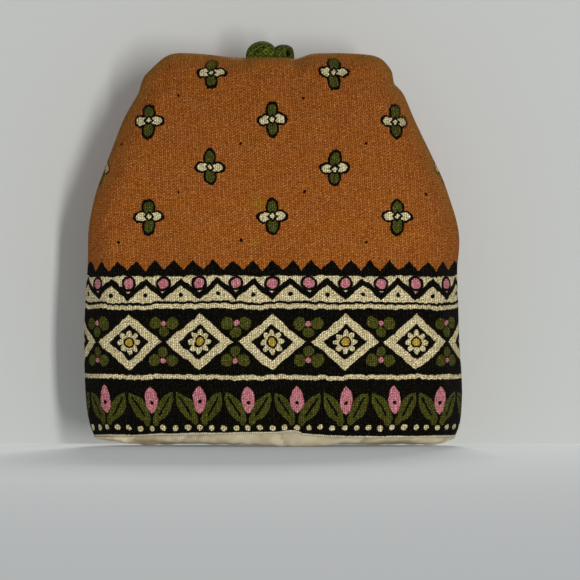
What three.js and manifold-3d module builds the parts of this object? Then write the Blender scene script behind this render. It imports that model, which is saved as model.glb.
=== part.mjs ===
// A padded egg cosy that stands open on its hem. A front and a back panel, each a printed cloth with
// its wadding, are sewn together down the sides and over the top. A thin lining pouch sits inside them,
// rolls out under the hem and carries the cosy on the table. A soft cloth loop is caught in the middle
// of the top seam and flops backwards.
// Millimetres, +Z up. The origin is on the table under the middle of the cosy, which faces -Y.
import * as THREE from "three";
import Module from "manifold-3d";
import { mergeVertices } from "three/addons/utils/BufferGeometryUtils.js";

// ---- driving dimensions -------------------------------------------------------------------------
const height = 104; // table to top seam
const seamGap = 0.3; // daylight between pieces that are sewn together
const slopingGap = 0.36; // the same, measured front to back where the cloth slopes
const padThickness = 6.2; // a panel with its wadding, where nothing presses on it
const edgeThickness = 0.7; // the same panel at its seam
const edgeRoll = 7; // how far in from the seam the padded edge stays rounded
const edgeCurve = 0.6; // 0.5 rolls the edge in a quarter circle, 1 in a flatter curve
const hemDrop = 2.7; // table to the lower edge of the panels, where the lining shows
const hemFold = 0.7; // how far the panels' lower edge is folded in
const hemRise = 1.2; // hem to where that fold ends
const liningThickness = 1.1;
const hollowMargin = 6.2; // side seam to the lining pouch
const hollowTop = 95; // table to the pouch's closed end
const hollowEdge = 0.5; // half the pouch's clear depth at its sides
const bellyCurve = 2.3; // 2 bellies each half in a plain arc, more keeps its middle flatter
const reach = 12; // how far from the hem and from the top seam their waves still show
const footInset = 0.6; // how far in from the side seams the lining's roll stays
const footSlack = 0.2; // room between the roll and the panels where the hem's wave dips
const footShares = [0, 0.2, 0.6, 1]; // the heights that the roll is drawn at, as shares of its own
const leanStep = 0.5; // how far up and down the outline's lean is measured
const weld = 1e-4; // points closer than this are one

// How the points of a solid lie across half its width: even steps, then closer ones over its edge.
const panelColumns = { even: 5, edge: 5, edgeShare: 0.17 };
const pouchColumns = { even: 6, edge: 2, edgeShare: 0.12 };

// The sewn outline: the side seams' distance from the centre line, left and right as the front is seen.
const outline = [
  { z: 0, left: 46.8, right: 47.6 },
  { z: 5, left: 48.3, right: 49.2 },
  { z: 14, left: 49.5, right: 49.8 },
  { z: 30, left: 49.9, right: 49.5 },
  { z: 46, left: 49.0, right: 48.7 },
  { z: 55, left: 48.9, right: 49.1 },
  { z: 61, left: 48.2, right: 47.9 },
  { z: 67, left: 46.9, right: 45.9 },
  { z: 77, left: 43.2, right: 41.7 },
  { z: 86, left: 39.6, right: 37.5 },
  { z: 92, left: 36.0, right: 34.7 },
  { z: 96, left: 34.8, right: 32.4 },
  { z: 99, left: 32.8, right: 31.1 },
  { z: 101.5, left: 30.7, right: 29.9 },
  { z: 103, left: 28.5, right: 27.8 },
  { z: 104, left: 24.0, right: 23.0 },
];

// How far each half of the pouch stands out from the middle plane, half way between its sides.
const belly = [
  { z: 0, out: 9.6 },
  { z: 25, out: 9.2 },
  { z: 50, out: 7.8 },
  { z: 70, out: 5.6 },
  { z: 85, out: 3.0 },
  { z: 95, out: 1.2 },
  { z: 104, out: 0.6 },
];

// How the hem's stitching lifts and drops the panels' lower edge along its length.
const hemWave = [
  { x: -50, rise: -0.2 },
  { x: -30, rise: 0.2 },
  { x: -8, rise: 0.3 },
  { x: 9, rise: 0.8 },
  { x: 18, rise: 0.0 },
  { x: 50, rise: -0.1 },
];

// How the top seam rises and dips along its length: lowest at the loop, which draws it down.
const topWave = [
  { x: -40, rise: 0.0 },
  { x: -22, rise: 0.1 },
  { x: -13, rise: -0.6 },
  { x: -6, rise: -1.1 },
  { x: 5, rise: -1.1 },
  { x: 11, rise: 0.0 },
  { x: 24, rise: 0.0 },
  { x: 40, rise: 0.0 },
];

// The loop's route: the middle of its legs, from inside the seam, up, over to the back and round.
const loopRoute = [
  { x: -3.1, y: 0.0, z: 98.5 },
  { x: -3.1, y: 0.0, z: 102.4 },
  { x: -3.1, y: 1.1, z: 105.2 },
  { x: -3.1, y: 3.6, z: 105.6 },
  { x: -3.2, y: 6.6, z: 103.6 },
  { x: -3.3, y: 8.7, z: 99.2 },
  { x: -3.3, y: 9.5, z: 93.6 },
  { x: -2.3, y: 10.5, z: 89.0 },
  { x: 0.0, y: 11.0, z: 87.2 },
  { x: 2.3, y: 10.5, z: 89.0 },
  { x: 3.3, y: 9.5, z: 93.6 },
  { x: 3.2, y: 8.7, z: 99.0 },
  { x: 3.1, y: 6.5, z: 103.1 },
  { x: 3.0, y: 3.5, z: 105.0 },
  { x: 3.0, y: 1.1, z: 104.6 },
  { x: 3.0, y: 0.0, z: 102.2 },
  { x: 3.0, y: 0.0, z: 98.5 },
];
const loopWidth = 5.2;
const loopThickness = 2.6;

// The opening in the top seam that the loop's legs come out of.
const loopOpening = { left: -6.1, right: 6.0, front: -1.7, back: 2.3, low: 98.1, high: 106 };

const colours = { rust: 0x9a5624, back: 0x96521f, cream: 0xd9cfb2, green: 0x46561b };

// ---- curves -------------------------------------------------------------------------------------
const { clamp, lerp } = THREE.MathUtils;

/** A smooth curve through a table: what the column `value` says where the column `at` is x. */
function through(rows, at, value, x) {
  const last = rows.length - 1;
  const slope = (i) => {
    const before = rows[Math.max(i - 1, 0)];
    const after = rows[Math.min(i + 1, last)];
    return (after[value] - before[value]) / (after[at] - before[at]);
  };
  const place = clamp(x, rows[0][at], rows[last][at]);
  const i = clamp(rows.findIndex((row) => row[at] > place) - 1, -1, last - 1);
  const start = i < 0 ? last - 1 : i;
  const span = rows[start + 1][at] - rows[start][at];
  const t = (place - rows[start][at]) / span;
  const rise = rows[start + 1][value] - rows[start][value];
  const leaves = slope(start) * span;
  const arrives = slope(start + 1) * span;
  const bend = 3 * rise - 2 * leaves - arrives;
  const twist = leaves + arrives - 2 * rise;
  return rows[start][value] + t * (leaves + t * (bend + t * twist));
}

/** The side seam's distance from the centre line: left where `side` is negative, right where it isn't. */
const seamAt = (side, z) => through(outline, "z", side < 0 ? "left" : "right", z);

/** How far a place on a panel lies in from the side seam, square to it. */
function insetAt(x, z) {
  const above = seamAt(x, clamp(z, 0, height - leanStep) + leanStep);
  const below = seamAt(x, clamp(z, leanStep, height) - leanStep);
  return (seamAt(x, z) - Math.abs(x)) / Math.hypot(1, (above - below) / (2 * leanStep));
}

/** A padded edge's thickness over the whole panel's: 0 at the seam, 1 where the roll ends. */
const rolled = (inset) => (1 - (1 - clamp(inset / edgeRoll, 0, 1)) ** 2) ** edgeCurve;

/** The pouch's clear depth from the middle plane: most half way between its sides, least along them. */
function bellyAt(x, z) {
  const across = Math.min(Math.abs(x) / (seamAt(x, z) - hollowMargin), 1);
  return lerp(hollowEdge, through(belly, "z", "out", z), 1 - across ** bellyCurve);
}

/** The lining's outside, and a panel's face, as depths from the middle plane. */
const pouchFace = (x, z) => seamGap / 2 + bellyAt(x, z) + liningThickness;
function panelFace(x, z) {
  const roll = rolled(insetAt(x, z)) * rolled(height - z);
  const swell = (bellyAt(x, z) + padThickness - edgeThickness) * roll;
  return seamGap / 2 + edgeThickness + swell;
}

/** The panels' lower edge and the top seam, each with its wave. */
const hemEdge = (x) => hemDrop + through(hemWave, "x", "rise", x);
const topSeam = (x) => height + through(topWave, "x", "rise", x);

// ---- solids -------------------------------------------------------------------------------------
const wasm = await Module();
wasm.setup();

/** A solid from a geometry whose triangles already close and point outwards. */
function solid(geometry) {
  geometry.deleteAttribute("normal");
  geometry.deleteAttribute("uv");
  const merged = mergeVertices(geometry, weld);
  const vertProperties = merged.attributes.position.array;
  const triVerts = new Uint32Array(merged.index.array);
  return new wasm.Manifold(new wasm.Mesh({ numProp: 3, vertProperties, triVerts }));
}

/** Shares of the half width, from -1 at the left to 1 at the right, spaced as `columns` says. */
function sharesAcross({ even, edge, edgeShare }) {
  const half = [];
  for (let i = 1; i <= even; i++) half.push(((1 - edgeShare) * i) / even);
  for (let i = edge - 1; i >= 0; i--) {
    half.push(1 - edgeShare * (1 - Math.cos((Math.PI * i) / (2 * edge))));
  }
  return [...half.map((share) => -share).reverse(), 0, ...half];
}

/** A closed slab of cloth: face(share, level) gives a point of its face, and `back` its back's depth. */
function slab({ facing, levels, shares, face, back }) {
  const width = shares.length;
  const count = levels.length * width;
  const points = levels.flatMap((level) => shares.map((share) => face(share, level)));
  const near = points.flatMap(({ x, depth, z }) => [x, -facing * depth, z]);
  const far = points.flatMap(({ x, z }) => [x, -facing * back, z]);
  const index = [];
  const quad = (a, b, c, d) => index.push(...(facing > 0 ? [a, b, c, a, c, d] : [a, c, b, a, d, c]));
  for (let row = 0; row + 1 < levels.length; row++) {
    for (let column = 0; column + 1 < width; column++) {
      const a = row * width + column;
      quad(a, a + 1, a + 1 + width, a + width);
      quad(count + a, count + a + width, count + a + 1 + width, count + a + 1);
    }
    const left = row * width;
    const right = left + width - 1;
    quad(left, left + width, count + left + width, count + left);
    quad(right, count + right, count + right + width, right + width);
  }
  for (let column = 0; column + 1 < width; column++) {
    const top = count - width + column;
    quad(column, count + column, count + column + 1, column + 1);
    quad(top, top + 1, count + top + 1, count + top);
  }
  const geometry = new THREE.BufferGeometry();
  geometry.setAttribute("position", new THREE.Float32BufferAttribute([...near, ...far], 3));
  geometry.setIndex(index);
  return solid(geometry);
}

/** Half of the lining pouch, filled, `spare` bigger all round, from the height `low` up. */
function pouch(facing, spare, low, back) {
  const levels = [low, 9, 18, 28, 39, 50, 60, 69, 77, 84, 90, hollowTop];
  const face = (share, level) => {
    const z = Math.max(level, 0);
    const half = seamAt(share, z) - hollowMargin;
    const lift = level === hollowTop ? spare : 0;
    const depth = pouchFace(share * half, z) + spare;
    return { x: share * (half + spare), depth, z: level + lift };
  };
  return slab({ facing, levels, shares: sharesAcross(pouchColumns), face, back });
}

/** One padded panel: its crowned face, its thin sewn edge, and the hollow that the lining fills. */
function panel(facing) {
  const below = [hemDrop, hemDrop + hemRise, 9, 18, 28, 39, 50, 58, 64, 71, 78, 85, 91];
  const levels = [...below, 95, 98, 100.5, 102.3, 103.4, height];
  const face = (share, level) => {
    const x = share * seamAt(share, level);
    const nearHem = Math.max(0, 1 - (level - hemDrop) / reach);
    const nearTop = Math.max(0, 1 - (height - level) / reach);
    const lift = nearHem * (hemEdge(x) - hemDrop) + nearTop * (topSeam(x) - height);
    const fold = level === hemDrop ? Math.min(hemFold, panelFace(x, level) - seamGap) : 0;
    return { x, depth: panelFace(x, level) - fold, z: level + lift };
  };
  const shares = sharesAcross(panelColumns);
  const whole = slab({ facing, levels, shares, face, back: seamGap / 2 });
  return whole.subtract(pouch(facing, slopingGap, -1, -1)).subtract(loopRoom());
}

/** Half the lining: a thin pouch up the inside, and the roll under the hem that the cosy stands on. */
function lining(facing) {
  const footTop = hemDrop - footSlack - seamGap;
  const face = (share, level) => {
    const x = share * (seamAt(share, level) - footInset);
    const rounding = hemFold * (1 - Math.sin((Math.PI * level) / footTop));
    return { x, depth: Math.max(seamGap, panelFace(x, level) - rounding), z: level };
  };
  const levels = footShares.map((share) => share * footTop);
  const foot = slab({ facing, levels, shares: sharesAcross(panelColumns), face, back: seamGap / 2 });
  const outside = pouch(facing, 0, footTop / 2, seamGap / 2);
  return foot.add(outside).subtract(pouch(facing, -liningThickness, -1, -1));
}

/** The loop: a soft flattened tube along its route. */
function loop() {
  const stops = loopRoute.map(({ x, y, z }) => new THREE.Vector3(x, y, z));
  const route = new THREE.CatmullRomCurve3(stops, false, "centripetal");
  const [across, deep] = [loopWidth / 2, loopThickness / 2];
  const section = new THREE.Shape().absellipse(0, 0, across, deep, 0, 2 * Math.PI);
  const outlinePoints = section.getPoints(6).slice(0, -1);
  const options = { steps: 48, extrudePath: route, bevelEnabled: false };
  return solid(new THREE.ExtrudeGeometry(new THREE.Shape(outlinePoints), options));
}

/** The room that the loop's legs take up between the two panels. */
function loopRoom() {
  const { left, right, front, back, low, high } = loopOpening;
  const room = new THREE.BoxGeometry(right - left, back - front, high - low);
  return solid(room.translate((left + right) / 2, (front + back) / 2, (low + high) / 2));
}

// ---- the cosy -----------------------------------------------------------------------------------
/** A named mesh of a solid, in its cloth's colour. */
function cloth(name, body, color) {
  const { vertProperties, numProp, triVerts } = body.getMesh();
  const geometry = new THREE.BufferGeometry();
  geometry.setAttribute("position", new THREE.BufferAttribute(vertProperties, numProp));
  geometry.setIndex(new THREE.BufferAttribute(triVerts, 1));
  geometry.computeVertexNormals();
  const finish = new THREE.MeshStandardMaterial({ color, roughness: 0.95, metalness: 0 });
  const mesh = new THREE.Mesh(geometry, finish);
  mesh.name = name;
  return mesh;
}

const cosy = new THREE.Group();
cosy.add(cloth("panel_front", panel(1), colours.rust));
cosy.add(cloth("panel_back", panel(-1), colours.back));
cosy.add(cloth("lining_front", lining(1), colours.cream));
cosy.add(cloth("lining_back", lining(-1), colours.cream));
cosy.add(cloth("loop", loop(), colours.green));

export default cosy;
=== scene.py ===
"""A padded egg cosy of printed cloth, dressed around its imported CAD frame.

Two padded panels are sewn together down the sides and over the top. A thin lining pouch hangs
inside them, rolls out under the hem and stands on the table. A soft loop of green cloth is caught
in the top seam. Shapes are worked out in millimetres and put into their meshes in metres. +Z is
up, and the front faces -Y.
"""

import logging
import math
from dataclasses import dataclass
from enum import Enum

import bpy
import numpy as np
from bpy.types import Material, Node, NodeSocket, NodeTree, Object
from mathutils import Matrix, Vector


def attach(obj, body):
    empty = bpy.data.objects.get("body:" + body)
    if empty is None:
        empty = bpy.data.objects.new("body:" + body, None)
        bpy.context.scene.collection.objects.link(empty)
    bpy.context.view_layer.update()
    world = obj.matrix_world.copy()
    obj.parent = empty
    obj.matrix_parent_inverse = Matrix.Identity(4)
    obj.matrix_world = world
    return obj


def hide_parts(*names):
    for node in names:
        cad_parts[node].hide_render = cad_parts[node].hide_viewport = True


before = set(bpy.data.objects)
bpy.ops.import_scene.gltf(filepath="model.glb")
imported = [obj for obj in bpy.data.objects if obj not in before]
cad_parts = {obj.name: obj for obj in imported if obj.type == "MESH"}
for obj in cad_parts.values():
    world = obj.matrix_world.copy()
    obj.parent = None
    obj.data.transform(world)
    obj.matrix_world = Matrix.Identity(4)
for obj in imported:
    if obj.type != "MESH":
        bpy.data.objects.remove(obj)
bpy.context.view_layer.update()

MM = 0.001
BODY = "root"
CLOTH_MAP = "cloth"

Array = np.ndarray
Point = tuple[float, float]
Place = tuple[float, float, float]
Colour = tuple[float, float, float]

TINY = 1e-9
BLOCK = 2000  # how many points are measured from a line at once, which keeps the memory small
WAVE_LENGTHS = (0.7, 1.5)  # a ripple's shortest and longest waves, in shares of its length
COLOUR_INPUTS = (0, 6, 7)  # a Mix node's factor and its two colours, among its inputs
COLOUR_OUTPUT = 2  # its mixed colour, among its outputs

log = logging.getLogger("egg cosy")


class Mark(Enum):
    """The values that a mesh carries for its material: two distances, and a share of shade."""

    SEAM = "seam_distance"
    HEM = "hem_distance"
    SHADE = "fold_shade"


class Facing(Enum):
    """Which way a half of the cosy faces, as the sign of its Y."""

    FRONT = -1
    BACK = 1


# ---- curves ----------------------------------------------


def ease(low: float, high: float, value: Array) -> Array:
    """A smooth step from 0 at low to 1 at high: 3 s^2 - 2 s^3 of the share s of the way."""
    share = np.clip((value - low) / (high - low), 0.0, 1.0)
    return share * share * (3.0 - 2.0 * share)


def through(points: tuple[Point, ...], place: Array) -> Array:
    """A smooth curve through a table of (place, value) pairs.

    Each stretch is a cubic whose slope at a point is that of the line between its neighbours.

    Args:
        points: the pairs, with their places in rising order.
        place: where to read the curve; beyond the table it keeps the end's value.

    Returns:
        The curve's values.
    """
    at, value = np.array(points, float).T
    slope = np.empty_like(value)
    slope[1:-1] = (value[2:] - value[:-2]) / (at[2:] - at[:-2])
    slope[0] = (value[1] - value[0]) / (at[1] - at[0])
    slope[-1] = (value[-1] - value[-2]) / (at[-1] - at[-2])
    here = np.clip(place, at[0], at[-1])
    i = np.clip(np.searchsorted(at, here, side="right") - 1, 0, len(at) - 2)
    span = at[i + 1] - at[i]
    t = (here - at[i]) / span
    rise = value[i + 1] - value[i]
    leaves, arrives = slope[i] * span, slope[i + 1] * span
    bend, twist = 3 * rise - 2 * leaves - arrives, leaves + arrives - 2 * rise
    return value[i] + t * (leaves + t * (bend + t * twist))


def lengths(line: Array) -> Array:
    """How far along its line each of its points lies."""
    return np.concatenate([[0.0], np.cumsum(np.linalg.norm(np.diff(line, axis=0), axis=1))])


def smooth_line(points: tuple[tuple[float, ...], ...], count: int, fine: int = 24) -> Array:
    """A smooth line through points.

    Args:
        points: what the line passes through, in order.
        count: how many points to return.
        fine: how many points of the curve are worked out first for each point given.

    Returns:
        That many points, in even steps of the line's length.
    """
    knots = np.array(points, float)
    along = lengths(knots)
    places = np.linspace(0.0, along[-1], fine * len(knots))
    line = np.stack([through(tuple(zip(along, column)), places) for column in knots.T], axis=1)
    return part_way(line, np.linspace(0.0, 1.0, count))


def part_way(line: Array, shares: Array) -> Array:
    """Points of a line at shares of its length, from 0 at its start to 1 at its end."""
    along = lengths(line)
    return np.stack([np.interp(shares * along[-1], along, column) for column in line.T], axis=-1)


def nearest(points: Array, line: Array) -> tuple[Array, Array]:
    """How far points are from a line, and how far along it they are.

    Args:
        points: points in the plane, in an array whose last axis is (x, z).
        line: the line's points, close together and evenly spaced.

    Returns:
        Each point's distance from the line, and its share of the line's length.
    """
    flat = points.reshape(-1, 2)
    start, step = line[:-1], np.diff(line, axis=0)
    away, share = [], []
    for block in np.array_split(flat, max(1, len(flat) // BLOCK)):
        off = block[:, None] - start
        t = np.clip((off * step).sum(2) / (step * step).sum(1), 0.0, 1.0)
        gap = np.linalg.norm(off - t[..., None] * step, axis=2)
        rows, best = np.arange(len(block)), gap.argmin(1)
        away.append(gap[rows, best])
        share.append((best + t[rows, best]) / len(step))
    shape = points.shape[:-1]
    return np.concatenate(away).reshape(shape), np.concatenate(share).reshape(shape)


@dataclass(frozen=True)
class Ripple:
    """Soft random unevenness, in millimetres: plane waves that run every way, added up."""

    height: float  # how high it is: its waves' sum is mostly within 1.5 times that
    length: float  # the waves' middle length
    waves: int = 7  # how many there are

    def at(self, x: Array, z: Array | float, seed: int) -> Array:
        """The unevenness at places.

        Args:
            x: places across.
            z: places up, or 0 for unevenness along a line.
            seed: which waves they are.

        Returns:
            The rise at each place.
        """
        random = np.random.default_rng(seed)
        turn = random.uniform(0.0, math.tau, self.waves)
        stretch = random.uniform(*WAVE_LENGTHS, self.waves)
        phase = random.uniform(0.0, math.tau, self.waves)
        run = x[..., None] * np.cos(turn) + np.asarray(z)[..., None] * np.sin(turn)
        waves = np.sin(run * math.tau / (self.length * stretch) + phase).sum(-1)
        return self.height * (waves / math.sqrt(self.waves))


def gathered(count: int, gather: float) -> Array:
    """Shares that grow close towards 0 and 1: u - gather / (2 pi) sin(2 pi u), of even shares u."""
    u = np.linspace(0.0, 1.0, count)
    return u - gather / math.tau * np.sin(math.tau * u)


# ---- meshes ----------------------------------------------


def grid_faces(rows: int, columns: int, columns_close: bool) -> Array:
    """The four-cornered faces of a grid of points whose last row joins its first.

    Args:
        rows: how many rows of points there are.
        columns: how many points a row has.
        columns_close: whether a row's last point joins its first.

    Returns:
        Four indices for each face, going round it.
    """
    row = np.arange(rows)[:, None]
    column = np.arange(columns if columns_close else columns - 1)[None, :]
    below, beside = (row + 1) % rows, (column + 1) % columns
    corners = (
        row * columns + column,
        row * columns + beside,
        below * columns + beside,
        below * columns + column,
    )
    return np.stack(np.broadcast_arrays(*corners), axis=-1).reshape(-1, 4)


def end_faces(rows: int, columns: int) -> Array:
    """The faces that close the two ends of a band whose last row joins its first.

    Row i faces row rows - 1 - i across the band's thickness, so a ladder of faces fills each end.

    Args:
        rows: how many rows of points there are, an even number.
        columns: how many points a row has.

    Returns:
        Four indices for each face, going round it the way that grid_faces does.
    """
    i = np.arange(rows // 2 - 1)
    ladder = np.stack([i, i + 1, rows - 2 - i, rows - 1 - i], axis=1) * columns
    return np.concatenate([ladder, ladder[:, ::-1] + columns - 1])


def band_faces(rows: int, columns: int) -> Array:
    """All the faces of a band whose last row joins its first, with both of its ends closed."""
    return np.concatenate([grid_faces(rows, columns, False), end_faces(rows, columns)])


def along_cloth(points: Array, axis: int) -> Array:
    """How far along the cloth a grid's points lie, as the sum of the steps between them.

    Args:
        points: the grid's points.
        axis: 0 to measure from the first row, or 1 to measure from the middle column.

    Returns:
        A distance for each point.
    """
    step = np.linalg.norm(np.diff(points, axis=axis), axis=2)
    start = np.zeros_like(np.take(step, [0], axis=axis))
    run = np.concatenate([start, np.cumsum(step, axis=axis)], axis=axis)
    return run - run[:, run.shape[1] // 2, None] if axis == 1 else run


def normals(points: Array) -> Array:
    """The unit normals of a grid of points: the cross product of its steps across and along."""
    across, along = np.gradient(points, axis=1), np.gradient(points, axis=0)
    square = np.cross(across, along)
    return square / np.maximum(np.linalg.norm(square, axis=2, keepdims=True), TINY)


@dataclass
class Shell:
    """A closed mesh in the making."""

    points: Array  # a grid of points in millimetres, an array of rows, columns and (x, y, z)
    faces: Array  # four indices for each face
    cloth: Array  # each point's place on its cloth, (across, along) in millimetres
    marks: dict[Mark, Array]  # further values at each point, by name, for the materials to read

    def volume(self) -> float:
        """The volume that the faces hold, in cubic millimetres: negative if they face inwards."""
        p = self.points.reshape(-1, 3)
        a, b, c, d = (p[self.faces[:, k]] for k in range(4))
        return float((a * np.cross(b, c)).sum() + (a * np.cross(c, d)).sum()) / 6.0

    def piece(self, name: str) -> Object:
        """Puts the shell into the scene.

        Args:
            name: the new object's name.

        Returns:
            The object, in metres and smooth shaded, with its cloth map and its marks.
        """
        faces = self.faces if self.volume() > 0 else self.faces[:, ::-1]
        mesh = bpy.data.meshes.new(name)
        mesh.vertices.add(self.points.size // 3)
        mesh.vertices.foreach_set("co", (self.points * MM).astype(np.float32).ravel())
        mesh.loops.add(faces.size)
        mesh.loops.foreach_set("vertex_index", faces.astype(np.int32).ravel())
        mesh.polygons.add(len(faces))
        mesh.polygons.foreach_set("loop_start", np.arange(0, faces.size, 4, dtype=np.int32))
        mesh.update(calc_edges=True)
        mesh.polygons.foreach_set("use_smooth", np.ones(len(faces), bool))
        layer = mesh.uv_layers.new(name=CLOTH_MAP)
        cloth = self.cloth.reshape(-1, 2)[faces.ravel()]
        layer.data.foreach_set("uv", cloth.astype(np.float32).ravel())
        for mark, values in self.marks.items():
            layer = mesh.attributes.new(mark.value, "FLOAT", "POINT")
            layer.data.foreach_set("value", values.astype(np.float32).ravel())
        thing = bpy.data.objects.new(name, mesh)
        bpy.context.scene.collection.objects.link(thing)
        return thing


# ---- the cut ---------------------------------------------


@dataclass(frozen=True)
class Crease:
    """A soft trough pressed into the cloth along a line."""

    line: tuple[Point, ...]  # the points that it follows, (x, z) in millimetres
    depth: float  # how deep it is where it is deepest; a ridge is negative
    width: float  # how far from its line it has sunk to a third
    fade: float = 0.3  # the share of its length over which each end dies away
    steps: int = 60  # how many points its line is worked out at

    def dent(self, x: Array, z: Array) -> Array:
        """How far it presses the cloth in: a bell across its line that dies away at its ends."""
        away, share = nearest(np.stack([x, z], axis=-1), smooth_line(self.line, self.steps))
        ends = ease(0.0, self.fade, share) * ease(0.0, self.fade, 1.0 - share)
        return self.depth * np.exp(-((away / self.width) ** 2)) * ends


@dataclass(frozen=True)
class Outline:
    """The sewn outline that both panels share, (x, z) in millimetres, as the front is seen."""

    # up the left side, from the hem to the shoulder
    left: tuple[Point, ...] = (
        (-47.4, 2.6), (-48.4, 5.6), (-49.3, 11.0), (-49.8, 20.0), (-49.9, 30.0), (-49.5, 40.0),
        (-48.95, 48.5), (-48.75, 57.0), (-47.9, 62.3), (-46.7, 67.3), (-44.4, 73.7), (-42.0, 80.0),
        (-39.5, 86.4), (-37.2, 90.6), (-35.45, 93.6), (-34.9, 95.6), (-33.9, 98.0), (-32.3, 99.7),
        (-30.5, 101.45),
    )
    # over the top, from shoulder to shoulder
    top: tuple[Point, ...] = (
        (-30.5, 101.45), (-28.5, 103.05), (-26.2, 103.95), (-22.6, 104.1), (-15.8, 103.6),
        (-10.5, 103.0), (-6.0, 102.9), (0.0, 102.95), (4.2, 102.85), (5.9, 102.55), (7.7, 103.0),
        (10.3, 103.9), (14.5, 104.1), (20.8, 104.0), (26.4, 103.5), (28.9, 102.5), (30.5, 100.9),
    )
    # down the right side, from the shoulder to the hem
    right: tuple[Point, ...] = (
        (30.5, 100.9), (31.6, 99.2), (31.95, 97.5), (32.35, 95.8), (34.0, 94.2), (35.1, 92.4),
        (37.65, 86.4), (42.2, 76.9), (45.2, 70.5), (47.25, 64.6), (48.4, 61.0), (49.3, 57.0),
        (49.5, 53.0), (48.95, 46.6), (49.2, 38.7), (49.5, 28.0), (50.15, 18.0), (50.2, 12.0),
        (49.6, 5.6), (48.5, 2.45),
    )
    # the panels' lower edge, from left to right
    hem: tuple[Point, ...] = (
        (-47.4, 2.6), (-40.0, 2.6), (-30.3, 3.0), (-11.3, 3.4), (-0.7, 3.55), (6.4, 3.9),
        (8.0, 3.15), (17.9, 2.5), (34.3, 2.4), (45.0, 2.4), (48.5, 2.45),
    )
    steps: int = 700  # how many points the seam's line is worked out at

    def seam(self) -> Array:
        """The whole seam as one line: up the left side, over the top and down the right side."""
        return smooth_line(self.left + self.top[1:] + self.right[1:], self.steps)

    def patch(self, across: Array, up: Array) -> Array:
        """The panel's own grid, drawn between its four edges.

        Each point is the sum of the points straight between the hem and the top and straight
        between the two sides, less what the four corners add twice.

        Args:
            across: the columns' shares of the way from the left side to the right.
            up: the rows' shares of the way from the hem to the top.

        Returns:
            An array of rows, columns and (x, z).
        """
        seam = self.seam()
        start = nearest(np.array([self.top[0], self.top[-1]]), seam)[1] * (self.steps - 1)
        first, last = (int(round(k)) for k in start)
        low = part_way(smooth_line(self.hem, self.steps), across)[None]
        high = part_way(seam[first : last + 1], across)[None]
        left = part_way(seam[: first + 1], up)[:, None]
        right = part_way(seam[last:][::-1], up)[:, None]
        s, t = across[None, :, None], up[:, None, None]
        under = (1 - s) * low[:, :1] + s * low[:, -1:]
        over = (1 - s) * high[:, :1] + s * high[:, -1:]
        corners = (1 - t) * under + t * over
        return (1 - t) * low + t * high + (1 - s) * left + s * right - corners

    def half_width(self, x: Array, z: Array) -> Array:
        """The seam's distance from the middle at a height, on the side where x lies."""
        left, right = np.array(self.left).T, np.array(self.right[::-1]).T
        return np.where(x < 0, -np.interp(z, left[1], left[0]), np.interp(z, right[1], right[0]))


@dataclass(frozen=True)
class Pouch:
    """The room inside the cosy, to either side of its middle plane, in millimetres."""

    outline: Outline = Outline()
    # (height, depth) pairs of the room half way between its sides
    belly: tuple[Point, ...] = (
        (0, 9.6), (25, 9.2), (50, 7.8), (70, 5.6), (85, 3.0), (95, 1.2), (104, 0.6),
    )
    margin: float = 6.2  # how far the room's sides lie in from the seam
    edge: float = 0.5  # half the room's depth along its sides
    curve: float = 2.3  # how flat each half stays in its middle; 2 is a plain arc
    closed: float = 93.8  # the height of the room's closed end
    closing: float = 3.5  # how far below that height it starts to close
    lining: float = 1.1  # the lining's thickness together with what lies loose behind it
    seam: float = 0.06  # half the gap between two cloths that are sewn together

    def across(self, x: Array, z: Array) -> Array:
        """A place's share of the way from the middle to the room's side."""
        return np.abs(x) / (self.outline.half_width(x, z) - self.margin)

    def depth(self, x: Array, z: Array) -> Array:
        """The room's depth from the middle plane: most in its middle, and least along its sides."""
        share = np.minimum(self.across(x, z), 1.0)
        return self.edge + (through(self.belly, z) - self.edge) * (1.0 - share**self.curve)


@dataclass(frozen=True)
class Padding:
    """How a padded panel swells between its seam and its middle, in millimetres."""

    pouch: Pouch = Pouch()  # the room behind it
    thickness: float = 6.2  # the panel with its wadding where nothing presses on it
    side_roll: float = 7.0  # how far in from a side seam its edge stays rounded
    top_roll: float = 6.0  # the same at the middle of the top seam
    shoulder_roll: float = 10.0  # the same at both shoulders, which bend back further
    roll: float = 0.6  # 0.5 rolls the edge in a quarter circle, and 1 in a flatter curve
    # the heights between which the edge changes from a side's to the top's
    upper: Point = (88.0, 98.0)
    outer: Point = (8.0, 20.0)  # how far from the middle it changes from the top's to a shoulder's
    belly_start: float = 5.0  # how far in the room's belly comes to show in full

    def reach(self, x: Array, z: Array) -> Array:
        """How far in from the seam the edge stays rounded: from sides to shoulders to top."""
        up, out = ease(*self.upper, z), ease(*self.outer, np.abs(x))
        shoulder = (self.shoulder_roll - self.side_roll) * (up * out)
        crown = (self.top_roll - self.side_roll) * (up * (1.0 - out))
        return self.side_roll + shoulder + crown

    def rolled(self, x: Array, z: Array, inset: Array) -> Array:
        """The edge's share of the full swell: 0 at the seam, and 1 where the roll ends."""
        share = np.clip(inset / self.reach(x, z), 0.0, 1.0)
        return (1.0 - (1.0 - share) ** 2) ** self.roll

    def swell(self, x: Array, z: Array, inset: Array) -> Array:
        """How far the panel's smooth face stands out from the middle plane.

        It is the sum of the room's belly, which falls to nothing at the seam, and of the
        wadding's rolled edge.

        Args:
            x: places across.
            z: places up.
            inset: their distances from the seam.

        Returns:
            The face's depths.
        """
        across = np.minimum(np.abs(x) / self.pouch.outline.half_width(x, z), 1.0)
        belly = through(self.pouch.belly, z) * (1.0 - across**self.pouch.curve)
        belly = belly * ease(0.0, self.belly_start, inset)
        return self.pouch.seam + belly + self.thickness * self.rolled(x, z, inset)


# ---- the cloth simulation --------------------------------


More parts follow.
